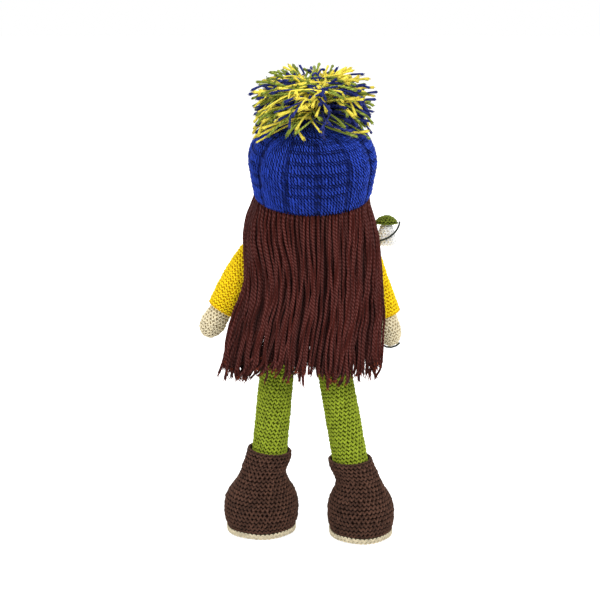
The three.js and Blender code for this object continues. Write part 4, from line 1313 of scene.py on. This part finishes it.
class DOLL_OT_boots(bpy.types.Operator):
    """Crochets the boots and sews on their soles"""

    bl_idname = "doll.boots"
    bl_label = "Boots"

    rim_lean = {"left": 0.10, "right": 0.03}  # the rim rises outwards, as a share of its radius
    ankle = 40 * MM  # the rim's lean starts at this height
    stitch = 3.1 * MM
    # each round on the sole's edge: its height, how far inwards it lies, and how tall it is, in mm
    edge_rounds = ((0.95, 0.55, 1.55), (2.2, 0.5, 1.55), (3.3, 0.4, 1.9))

    def execute(self, context):
        card = speckled("grey card", shade(176, 168, 150), 0.8, 700, 0.75, 0.05 * MM)
        for k, (name, side) in enumerate((("left", 1), ("right", -1))):
            self.boot(name, side, 41 + k)
            self.sole(name, 43 + k)
            stuffed(name + "_boot_filling", name + "_leg", 45 + k)
            cover(frame["nodes"][name + "_insole"], card)
        return {"FINISHED"}

    def middles(self, name):
        """The middle of the boot at heights from its sole to its rim, found from the rim down."""
        low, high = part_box(name)
        place = (low + high) / 2
        found = []
        for z in np.linspace(low.z + EDGE, high.z - 0.2 * MM, 90)[::-1]:
            for _ in range(3):
                ends = [
                    last_hit(mesh_of(name), Vector((place.x, place.y, z)), Vector(way))
                    for way in ((1, 0, 0), (-1, 0, 0), (0, 1, 0), (0, -1, 0))
                ]
                if all(ends):
                    place = Vector(((ends[0].x + ends[1].x) / 2, (ends[2].y + ends[3].y) / 2, z))
            found.append((place.x, place.y, z))
            place = Vector(found[-1])
        return found[::-1]

    def boot(self, name, side, seed):
        """A boot of crochet, whose rim leans."""
        node_name = name + "_boot"
        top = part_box(node_name)[1].z
        centres = self.middles(node_name)
        grid = wrap(node_name, Matrix.Identity(4), [(c, 0.0) for c in centres], smooth=3)
        rise = np.clip((grid[..., 2] - self.ankle) / (top - self.ankle), 0, 1) ** 1.5
        grid[..., 2] += side * self.rim_lean[name] * (grid[..., 0] - centres[-1][0]) * rise
        boot = crocheted(node_name + "_crochet", grid, "boots", seed, rims=("high",),
                         wall=1.7 * MM, width=self.stitch, height=self.stitch, depth=1.1 * MM,
                         lean=0.2, span=0.92)
        finish(boot, name + "_leg", "boot", node_name, fill=0.8)

    def sole(self, name, seed):
        """A cream sole with three rounds of stitches along its edge."""
        random = np.random.default_rng(SEED + seed)
        node_name = name + "_sole"
        centre = middle(node_name)
        ring = wrap(node_name, upright(node_name), straight(1.6 * MM, 2.4 * MM, 2), smooth=3)[0]
        flat = np.array([centre.x, centre.y, 0])
        out = unit((ring - flat) * (1, 1, 0))

        def level(z, inwards, share=1.0):
            """The ring at a height, moved inwards, and then brought to a share of its size."""
            row = flat + (ring - out * inwards - flat) * share
            row[:, 2] = z
            return row

        top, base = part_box(node_name)[1].z, 0.02 * MM
        rows = np.array([
            level(base, 1.2 * MM, 0.0), level(base, 1.2 * MM, 0.5), level(base, 2.0 * MM),
            level(base + 0.4 * MM, 1.1 * MM), level((top + base) / 2, 0.7 * MM),
            level(top - 0.3 * MM, 0.9 * MM), level(top, 1.6 * MM), level(top, 1.2 * MM, 0.5),
            level(top, 1.2 * MM, 0.0),
        ])
        slab = sheet_of(node_name, rows, ground_of("sole"), 40, 6)
        places = Places()
        up = np.tile([0.0, 0.0, 1.0], (len(ring), 1))
        wave = 0.25 * MM * np.sin(np.linspace(0, 40, len(ring)))
        for z, inwards, tall in self.edge_rounds:
            line = level(z * MM + wave, inwards * MM)
            edge_round(places, line, up, out, random, self.stitch, tall * MM, 0.7 * MM)
        stitches = places.build(node_name + "_stitches", shape("stitch"), [yarn_of("sole")])
        sole = join(node_name + "_crochet", [slab, stitches])
        finish(sole, name + "_leg", "sole", node_name, fill=0.9)


# How the strands of one layer of the back hair lie. Strands is their number as a share of the doll's,
# or 0 where they hang side by side. Jitter is in strands; pull, wave, scatter and crossing are shares
# of the way across the hair; depth, least and ripple are in strands' radii. Tone is painted shade:
# the deeper a layer lies, the darker its strands, where the strands over it shade it; tones is how
# much that differs at random.
Layer = namedtuple(
    "Layer",
    "strands jitter pull gather wave scatter crossing depth least ripple longer tone tones",
)


def wavering(random, down, slowest):
    """A sine along a strand that starts anywhere and makes slowest to 1.2 more turns."""
    start = random.random()
    return np.sin(2 * math.pi * (start + (slowest + 1.2 * random.random()) * down))


class DOLL_OT_hair(bpy.types.Operator):
    """Lays the strands of hair: cap, fringe, front locks and the long hair down the back"""

    bl_idname = "doll.hair"
    bl_label = "Hair"

    panels = ("hair_back_right", "hair_back_middle", "hair_back_left")
    panel_seams = (0.335, 0.665)  # between the panels, as shares of the way across
    end_height = 123.5 * MM
    points_down = 46
    rays = 60  # that look for each row of the hair's outline
    columns = 81  # points that the row is then brought to
    tufts = 22
    cap_rise = 3.2  # degrees up from the hat's own level, where the cap ends
    cap_starts = (86, 30, 55, 38, 70, 33, 46, 26)  # degrees up the cap, for the strands in turn
    front_radius = 37 * MM  # of the round that the front strands share out
    fronts = (  # each lock's angles round the face, in degrees, and the points in its strands
        ("hair_fringe", -32, 32, 14), ("left_front_lock", 33, 80, 26),
        ("right_front_lock", -80, -33, 26),
    )
    tip = 0.14  # the part of a strand that turns at its end, as a share of its length
    layers = (
        Layer(strands=0.5, jitter=0.6, pull=0.85, gather=2.5, wave=0.0065, scatter=0.065,
              crossing=0.16, depth=0.3, least=0.1, ripple=0.4, longer=0, tone=0.45, tones=0.75),
        Layer(strands=0.75, jitter=0.6, pull=0.8, gather=2.5, wave=0.0065, scatter=0.05,
              crossing=0, depth=1.3, least=0.8, ripple=1.6, longer=0, tone=0.15, tones=0.8),
        Layer(strands=0, jitter=0.15, pull=0.7, gather=16, wave=0.001, scatter=0.001,
              crossing=0, depth=3.4, least=0.8, ripple=0.8, longer=3.5 * MM, tone=-0.2, tones=0.25),
        Layer(strands=0, jitter=0.15, pull=0.7, gather=16, wave=0.001, scatter=0,
              crossing=0, depth=5.5, least=0.8, ripple=0.6, longer=3.5 * MM, tone=-0.25, tones=0.2),
    )

    def execute(self, context):
        self.radius = sizes().hair_yarn / 2
        self.back()
        self.cap()
        self.front()
        return {"FINISHED"}

    def outlines(self):
        """The outer surface of the back hair: rows from its top to its ends, columns across it."""
        tree = mesh_of(*self.panels)
        low = min(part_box(name)[0].z for name in self.panels)
        high = max(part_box(name)[1].z for name in self.panels)
        heights = np.linspace(high - 0.6 * MM, low + 4 * MM, self.points_down)
        grid = np.array([self.outline(tree, z) for z in heights])
        above = np.concatenate([grid[:1], grid[:-1]])
        below = np.concatenate([grid[1:], grid[-1:]])
        grid[..., :2] = (above + 2 * grid + below)[..., :2] / 4
        return grid

    def outline(self, tree, z):
        """The outside of the panels at one height, from one side round the back to the other."""
        sides = [
            last_hit(tree, Vector((HEAD_CENTRE.x, y, z)), Vector((way, 0, 0)))
            for way in (1, -1)
            for y in np.linspace(-10 * MM, 22 * MM, 17)
        ]
        sides = [hit for hit in sides if hit]
        wide = max(sides, key=lambda hit: abs(hit.x - HEAD_CENTRE.x))
        left = max(sides, key=lambda hit: hit.x)
        right = min(sides, key=lambda hit: hit.x)
        centre = Vector(((left.x + right.x) / 2, min(left.y, right.y), z))
        back = last_hit(tree, centre, Vector((0, 1, 0)))
        half = abs(wide.x - centre.x)
        deep = (back.y - centre.y) if back else 20 * MM
        hits = []
        for angle in np.radians(np.linspace(-88.5, 88.5, self.rays)):
            way = Vector((half * math.sin(angle), deep * math.cos(angle), 0))
            hit = last_hit(tree, centre, way.normalized())
            if hit:
                hits.append(hit)
        offset = np.array(hits) - np.array(centre)
        reach = np.linalg.norm(offset, axis=1)
        calm = reach.copy()  # a ray that slips between two panels goes too deep
        calm[1:-1] = np.median([reach[:-2], reach[1:-1], reach[2:]], axis=0)
        return evenly(np.array(centre) + offset * (calm / reach)[:, None], self.columns)

    def back(self):
        """Layers of strands down the outside of the panels, gathered into tufts."""
        random = np.random.default_rng(SEED + 51)
        grid = self.outlines()
        out = unit(np.cross(np.gradient(grid, axis=1), (0, 0, 1.0)))
        out *= np.sign((out * (grid - grid.mean(axis=1, keepdims=True))).sum())
        tufts = np.cumsum(0.4 + random.random(self.tufts))
        tufts = np.concatenate([[0], tufts / tufts[-1]])
        tuft_long = 4.2 * MM * random.standard_normal(len(tufts))
        tuft_tone = 0.45 * (random.random(len(tufts)) - 0.5)
        down = np.linspace(0, 1, self.points_down)
        side_by_side = lengths(grid[-1])[-1] / (1.2 * self.radius)
        lines, tones, shares = [], [], []
        for layer in self.layers:
            count = int(sizes().hair_strands * layer.strands or side_by_side)
            for i in range(count):
                share = (i + 0.5 + layer.jitter * (random.random() - 0.5)) / count
                share -= 0.04 * math.sin(2 * math.pi * share)  # closer together at the sides
                near = int(np.argmin(np.abs(tufts - share)))
                pull = (tufts[near] - share) * layer.pull * (0.6 + 0.5 * random.random())
                wave = layer.wave * wavering(random, down, 0.8)
                place = share + pull * down**layer.gather + wave * np.minimum(1, 3 * down)
                place += layer.scatter * random.standard_normal() * down**1.5
                if layer.crossing and i % 3 == 0:  # one in three crosses the others
                    place += layer.crossing * (random.random() - 0.5) * down
                place = np.clip(place, 0.006, 0.994)
                depth = layer.depth + layer.ripple * wavering(random, down, 0.6)
                depth = self.radius * np.maximum(layer.least, depth)
                line = self.along(grid, place) - self.along(out, place) * depth[:, None]
                end = self.end_height + tuft_long[near] + 2.8 * MM * random.standard_normal()
                end += layer.longer + 6 * MM * abs(2 * share - 1) ** 9
                lines.append(self.to_end(line, end, random))
                # a layer's tone is painted shade, darker for deeper layers; the tuft's and the
                # strand's parts differ at random
                tones.append(layer.tone + layer.tones * random.random() + tuft_tone[near])
                shares.append(share)
        lines, tones = np.array(lines), np.array(tones)
        panel = np.digitize(shares, self.panel_seams)
        if grid[0, 0, 0] > grid[0, -1, 0]:  # the grid starts at the doll's left
            panel = 2 - panel
        for k, name in enumerate(self.panels):
            self.bundle(name, lines[panel == k], tones[panel == k], random)

    def along(self, grid, place):
        """A point in each row of the grid, at shares of the way across."""
        index = place * (grid.shape[1] - 1)
        low = np.minimum(np.floor(index).astype(int), grid.shape[1] - 2)
        part = (index - low)[:, None]
        rows = np.arange(grid.shape[0])
        return grid[rows, low] * (1 - part) + grid[rows, low + 1] * part

    def to_end(self, line, end, random):
        """The line stretched so that it ends at a height, with its tip turned a little."""
        top = line[0, 2] + 1.2 * MM
        share = (line[0, 2] - line[:, 2]) / (line[0, 2] - line[-1, 2])
        line = line.copy()
        line[:, 2] = top + (end - top) * share
        tip = np.clip((share - 1 + self.tip) / self.tip, 0, 1)[:, None] ** 1.5
        line += tip * random.standard_normal(3) * (1.6, 1.3, 0) * MM
        return line

    def bundle(self, name, lines, tones, random):
        """Strands with their frayed ends, as one piece."""
        radius = self.radius * (0.84 + 0.28 * random.random(len(lines)))
        items = [
            strands(name + "_strands", lines, radius, tones, [yarn_of("hair")]),
            frayed(name + "_ends", lines, radius, random, tones, [yarn_of("hair_tips")],
                   long=3.0, spread_out=0.45),
        ]
        finish(join(name + "_yarn", items), "doll", "hair", name)

    def cap(self):
        """Short strands over the crown, from a ground that they are knotted into."""
        random = np.random.default_rng(SEED + 52)
        path = fan(0, self.cap_rise, POLE, 34)
        rises = [rise for _, rise in path]
        grid = wrap("hair_cap", hat_frame(), path)
        rows = rounds(grid, np.linspace(0, 1, 18))
        low = rows - outward(rows) * self.radius
        ground = sheet_of("hair_cap", low, ground_of("hair"), 60, 16, 0.9 * MM)
        rim = float(np.linalg.norm(grid[0] - grid[0].mean(0), axis=1).mean())
        count = int(math.pi * rim / self.radius)
        lines, tones = [], []
        for i in range(count):
            column = np.array([i / count * grid.shape[1]])
            line = np.array([at_columns(row, column)[0] for row in grid])
            start = self.cap_starts[i % len(self.cap_starts)] + 4 * random.random()
            start = math.radians(start)
            at = np.linspace(start, rises[0], 14)
            line = np.stack([np.interp(at, rises, line[:, k]) for k in range(3)], axis=1)
            out = unit(line - np.array(HEAD_CENTRE))
            lines.append(line - out * self.radius * (0.8 + 0.3 * random.random()))
            tones.append(random.random())
        short = strands("cap_strands", lines, np.full(count, self.radius), np.array(tones),
                        [yarn_of("hair")])
        finish(join("hair_cap_yarn", [ground, short]), "doll", "hair", "hair_cap")

    def front(self):
        """The fringe and the locks beside the face, two layers deep."""
        random = np.random.default_rng(SEED + 53)
        for name, start, end, points in self.fronts:
            wide = self.front_radius * math.radians(end - start)
            count = int(wide / (2 * self.radius)) + 1
            lines, tones = [], []
            for layer in range(2):
                for i in range(count):
                    angle = math.radians(start + (end - start) * (i + 0.5) / count)
                    line = self.hanging(name, angle, layer)
                    if line is None:
                        continue
                    down = np.linspace(0, 1, len(line))
                    line[:, 2] -= down * 2.4 * MM * random.random()
                    sway = down[:, None] ** 2 * random.standard_normal(3) * MM
                    lines.append(even(line + sway * (1, 0.6, 0), points))
                    tones.append(random.random())
            self.bundle(name, np.array(lines), np.array(tones), random)

    def hanging(self, name, angle, layer):
        """A line down the outside of a lock, which hangs down where the lock turns inwards."""
        low, high = (end.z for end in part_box(name))
        centre = np.array(HEAD_CENTRE)
        way = Vector((math.sin(angle), -math.cos(angle), 0))
        hits = [
            last_hit(mesh_of(name), Vector((centre[0], centre[1], z)), way)
            for z in np.linspace(high - 0.2 * MM, low + 0.4 * MM, 60)
        ]
        line = np.array([hit for hit in hits if hit])
        if len(line) < 4:
            return None
        line[:, 2] = np.linspace(line[0, 2] + 1.5 * MM, line[-1, 2], len(line))
        flat = np.linalg.norm(line[:, :2] - centre[:2], axis=1)
        hang = np.maximum.accumulate(flat)
        reach = flat + (hang - flat) * 0.55
        line[:, :2] = centre[:2] + (line[:, :2] - centre[:2]) * (reach / flat)[:, None]
        return line - np.array(way) * self.radius * (0.9 + 1.1 * layer)


class DOLL_OT_hat(bpy.types.Operator):
    """Crochets the ribbed hat and ties on the pompom"""

    bl_idname = "doll.hat"
    bl_label = "Hat and pompom"

    crown = 27 * MM  # the height in the hat's own frame where its side turns into its top
    rib_depth = 2.6 * MM  # of the valleys between two ribs, where full_ribs says so
    full_ribs = 1.8 * MM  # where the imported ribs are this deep, the scene's have rib_depth
    panel_depth = 0.7 * MM  # two panels in three lie this much deeper
    knot = 58 * MM  # the height in the same frame from which the pompom's strands stand out
    stem_share = 0.86  # of the strands stand out from the knot; the others lie over the top
    lowest, highest = -0.42, 0.97  # sines of the rises of the strands that stand out
    yarns = ("pompom_yellow", "leaf", "pompom_blue")
    # each of the tie's two loops: its place in the hat's frame, its size in mm, and its tilt
    loops = ((6, 32, 75, 5.5, 0.75), (-3, 12, 87, 4.5, -0.6))
    patches = (  # for each yarn, the way and the start of a wave that makes patches of it
        ((0.7, 0.5, 1.1), 0.3), ((-0.9, 0.8, 0.4), 1.9), ((0.8, -0.6, 0.9), 4.1),
    )

    def execute(self, context):
        self.hat()
        self.pompom()
        return {"FINISHED"}

    def hat(self):
        """Columns of leaning posts; in some panels every third row is shorter, and painted shade
        darkens it into a dark line. Painted shade darkens the seams too.
        """
        sides = HAT_RIBS * POSTS_PER_RIB
        path = straight(BRIM_HEIGHT + EDGE, self.crown, 40) + fan(self.crown, 1, POLE, 50)
        grid = wrap("hat", hat_frame(), path, sides=sides, smooth=0)
        local = hat_local(grid)
        reach = np.hypot(local[..., 0], local[..., 1])
        crest = reach.max(axis=1, keepdims=True)
        fade = (crest - reach.min(axis=1, keepdims=True)) / self.full_ribs
        panel, within = self.panel(np.arange(sides) / sides)
        rib = np.sin(math.pi * within) ** 0.6
        sunk = np.where(panel % 3 == 1, 0, self.panel_depth) * np.minimum(1, 3 * rib)
        round_reach = crest - fade * (self.rib_depth * (1 - rib) + sunk)[None]
        local[..., :2] *= (round_reach / np.maximum(reach, 1e-9))[..., None]

        def columns(size):
            """As many posts as fit, all of them or every second or fourth."""
            least = 0.6 * sizes().hat_stitch
            fitting = (n for n in (sides, sides // 2, sides // 4) if size / n > least)
            return next(fitting, HAT_RIBS)

        def relief(row, at):
            """How far posts stand out, how tall they are, and how much painted shade darkens them."""
            which, inside = self.panel(at)
            line = (which % 3 != 1) & (row % 3 == 2) & (row > 3)
            seam = np.minimum(inside, 1 - inside) < 0.06
            stand, span = np.where(seam, 0.6, 1.0), np.where(line, 0.6, 1.0)
            # painted shade on the seams and on the rows of the lines
            return stand[:, None], span[:, None], 0.7 * seam + 0.6 * line

        hat = crocheted("hat_crochet", moved(hat_frame(), local), "hat", 61, wall=1.6 * MM,
                        rims=("low",), kind="post", width=sizes().hat_stitch,
                        height=sizes().hat_row, depth=1.0 * MM, columns=columns,
                        turn=HAT_SEAM_TURN / (2 * math.pi), relief=relief)
        finish(hat, "hat", "hat", "hat")

    def panel(self, turns):
        """The panel between two ribs' seams, and how far across it, at turns of the hat."""
        place = (np.asarray(turns) - HAT_SEAM_TURN / (2 * math.pi)) * HAT_RIBS + 1e-6
        return np.floor(place).astype(int) % HAT_RIBS, place % 1

    def pompom(self):
        """Strands that stand out from one knot, and others that lie over its top."""
        random = np.random.default_rng(SEED + 66)
        core = np.array(hat_frame() @ Vector((0, 0, self.knot)))
        radial = int(sizes().pompom_strands * self.stem_share)
        lying = sizes().pompom_strands - radial
        stems = [self.stem(core, i, radial, random) for i in range(radial)]
        bows = [self.bow(core, random) for _ in range(lying)]
        lines, height = (np.array(part) for part in zip(*stems, *bows))
        count = len(lines)
        tips = (lines[:, -1] - core) / (10 * MM)
        fields = np.stack([np.sin(tips @ way + start) for way, start in self.patches], axis=1)
        lift = np.clip(height, 0, 1)[:, None] * (0.75, 0.1, -0.1) + (-0.15, 0.35, 0.2)
        which = np.argmax(0.55 * fields + lift + 0.8 * random.standard_normal((count, 3)), axis=1)
        tones = random.random(count)
        thick = sizes().pompom_yarn / 2 * (0.85 + 0.3 * random.random(count))
        yarns = [yarn_of(key) for key in self.yarns]
        items = [
            strands("pompom_strands", lines, thick, tones, yarns, which, pitch=3 * MM, flare=0.75),
            frayed("pompom_ends", lines, thick, random, tones, yarns, long=2.2, spread_out=0.6,
                   which=which),
            frayed("pompom_other_ends", lines[radial:, ::-1], thick[radial:], random,
                   tones[radial:], yarns, long=1.7, spread_out=0.5, which=which[radial:]),
        ]
        finish(join("pompom_yarn", items), "hat", "pompom", "pompom")
        self.tie(yarns, random)

    def at(self, core, rise, spin, share):
        """A place in the pompom, at a share of the way from the core to the outside."""
        flat = math.cos(rise)
        way = np.array(hat_frame().to_3x3()) @ (
            flat * math.cos(spin), flat * math.sin(spin), math.sin(rise)
        )
        hit = last_hit(mesh_of("pompom"), Vector(core), Vector(way))
        return core + share * ((np.array(hit) - core) if hit else way * 30 * MM)

    def bent(self, a, b, c):
        """A curve from a to c that is drawn towards b."""
        t = np.linspace(0, 1, 14)[:, None]
        return (1 - t) ** 2 * a + 2 * t * (1 - t) * b + t**2 * c

    def stem(self, core, i, count, random):
        """A strand from the knot outwards, and the height of its end as a sine."""
        up = np.array(hat_frame().to_3x3()) @ (0, 0, 1)
        spin = i * GOLDEN_ANGLE + 0.4 * random.random()
        back = max(0.0, math.sin(spin))  # the strands at the back lie on the crown
        if back > 0.45 and random.random() < 0.6:  # most of them swept to a side
            spin = math.atan2(0.5 * math.sin(spin), math.cos(spin) or 1)
        low = self.lowest + 0.3 * back
        rise = math.asin(low + (self.highest - low) * (i + 0.5) / count)
        outer = random.random() < 0.72  # the others end among them
        share = random.uniform(0.93, 1.05) if outer else random.uniform(0.6, 0.93)
        share *= 1 + 0.1 * (0.3 < rise < 1.0)
        end = self.at(core, rise, spin, share) - up * 2.5 * MM * (1 - back) * (rise < 0.3)
        bend_spin = spin + 0.35 * random.standard_normal()
        bend = self.at(core, min(1.4, rise + 0.4), bend_spin, 0.72 * share)
        start = core + 0.1 * (bend - core) + random.standard_normal(3) * 1.5 * MM
        return self.bent(start, bend + random.standard_normal(3) * 5 * MM, end), math.sin(rise)

    def bow(self, core, random):
        """A strand from side to side over the top, and a height that says so."""
        spin = 0.4 * random.standard_normal()
        ends = [
            self.at(core, random.uniform(0.1, 0.8), spin + far, random.uniform(0.9, 1.02))
            for far in (0.25, math.pi - 0.25 + 0.7 * random.standard_normal())
        ]
        apex = self.at(core, random.uniform(0.75, 1.4),
                       math.pi / 2 + 0.7 * random.standard_normal(), random.uniform(0.85, 1.0))
        return self.bent(ends[0], 2 * apex - (ends[0] + ends[1]) / 2, ends[1]), 0.7

    def tie(self, yarns, random):
        """The tie: a knot under the crown, a doubled strand up into the pompom, and two loops."""
        local = hat_local(np.array([v.co for v in frame["nodes"]["pompom_tie"].data.vertices]))
        base, top = local[:, 2].min(), local[:, 2].max()
        t = np.linspace(0, 1, 26)
        lines = []
        for side in (1, -1):
            reach = 0.55 * MM * side
            lines.append([reach * np.cos(9 * t), reach * np.sin(9 * t), base + (top - base) * t])
        for k in range(3):
            spin = 2 * math.pi * t * 0.98 + 2.1 * k
            height = base + (0.8 + 0.7 * k) * MM + 0.35 * MM * np.sin(2 * spin)
            lines.append([2.7 * MM * np.cos(spin), 2.7 * MM * np.sin(spin), height])
        for x, y, z, size, tilt in self.loops:
            spin = np.linspace(-0.5 * math.pi, 1.5 * math.pi, len(t))
            wide = 0.3 * size * np.cos(spin) * (1 + np.sin(spin))
            up = size * np.sin(spin)
            lines.append([
                (x + wide * math.cos(tilt) - up * math.sin(tilt)) * MM, (y + 0.12 * up) * MM,
                (z + wide * math.sin(tilt) + up * math.cos(tilt)) * MM,
            ])
        lines = moved(hat_frame(), np.swapaxes(lines, 1, 2))
        count = len(lines)
        which = np.array([0] * (count - 1) + [2])  # the last loop is blue
        item = strands("pompom_tie_yarn", lines, np.full(count, 0.65 * MM), random.random(count),
                       yarns, which, pitch=4 * MM)
        finish(item, "hat", "tie", "pompom_tie")


class DOLL_OT_flower(bpy.types.Operator):
    """Crochets the flower that the doll holds"""

    bl_idname = "doll.flower"
    bl_label = "Flower"

    def execute(self, context):
        low, high = (end.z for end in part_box("flower_calyx"))
        dress("flower_calyx", "flower_cap", "right_arm", "calyx", "leaf", 71,
              upright("flower_calyx", low + 1.5 * MM), fan(0, -POLE, POLE, 50), sides=48, wall=0,
              width=2.6 * MM, height=2.1 * MM, depth=0.85 * MM)
        low, high = (end.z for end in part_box("flower_bloom"))
        path = straight(low + 0.2 * MM, high - 1.5 * MM, 24) + fan(high - 2 * MM, 20, POLE, 10)
        dress("flower_bloom", "flower_bell", "right_arm", "bloom", "bloom", 72,
              upright("flower_bloom"), path, fill=None, sides=60, wall=0.9 * MM, rims=("low",),
              width=2.4 * MM, height=2.0 * MM, depth=0.6 * MM)
        dress("flower_stamen", "flower_bobble", "right_arm", "stamen", "pompom_yellow", 73,
              standing(middle("flower_stamen")), fan(0, -POLE, POLE, 20), fill=0.9, sides=24,
              wall=0, width=1.8 * MM, height=1.5 * MM, depth=0.45 * MM)
        cover(frame["nodes"]["flower_stem"],
              speckled("covered wire", shade(34, 44, 30), 0.6, 900, 0.5, 0.05 * MM))
        return {"FINISHED"}


class DOLL_PT_panel(bpy.types.Panel):
    """The doll's sizes, colours and pieces"""

    bl_label = "Crochet Doll"
    bl_idname = "DOLL_PT_panel"
    bl_space_type = "VIEW_3D"
    bl_region_type = "UI"
    bl_category = "Doll"

    def draw(self, context):
        for group in (context.scene.doll_sizes, context.scene.doll_colours):
            box = self.layout.box()
            for key in group.bl_rna.properties.keys():
                if key not in ("rna_type", "name"):
                    box.prop(group, key)
        for operator in OPERATORS:
            self.layout.operator(operator.bl_idname)


OPERATORS = (
    DOLL_OT_stage, DOLL_OT_head, DOLL_OT_face, DOLL_OT_body, DOLL_OT_arms, DOLL_OT_legs,
    DOLL_OT_boots, DOLL_OT_hair, DOLL_OT_hat, DOLL_OT_flower,
)
CLASSES = (DollSizes, DollColours, *OPERATORS, DOLL_PT_panel)


def register():
    for item in CLASSES:
        bpy.utils.register_class(item)
    bpy.types.Scene.doll_sizes = bpy.props.PointerProperty(type=DollSizes)
    bpy.types.Scene.doll_colours = bpy.props.PointerProperty(type=DollColours)


def unregister():
    del bpy.types.Scene.doll_colours
    del bpy.types.Scene.doll_sizes
    for item in reversed(CLASSES):
        bpy.utils.unregister_class(item)


def main():
    """Makes the whole doll."""
    bpy.context.scene.view_settings.view_transform = "Standard"
    register()
    for operator in OPERATORS:
        space, name = operator.bl_idname.split(".")
        getattr(getattr(bpy.ops, space), name)()


if __name__ == "__main__":
    main()
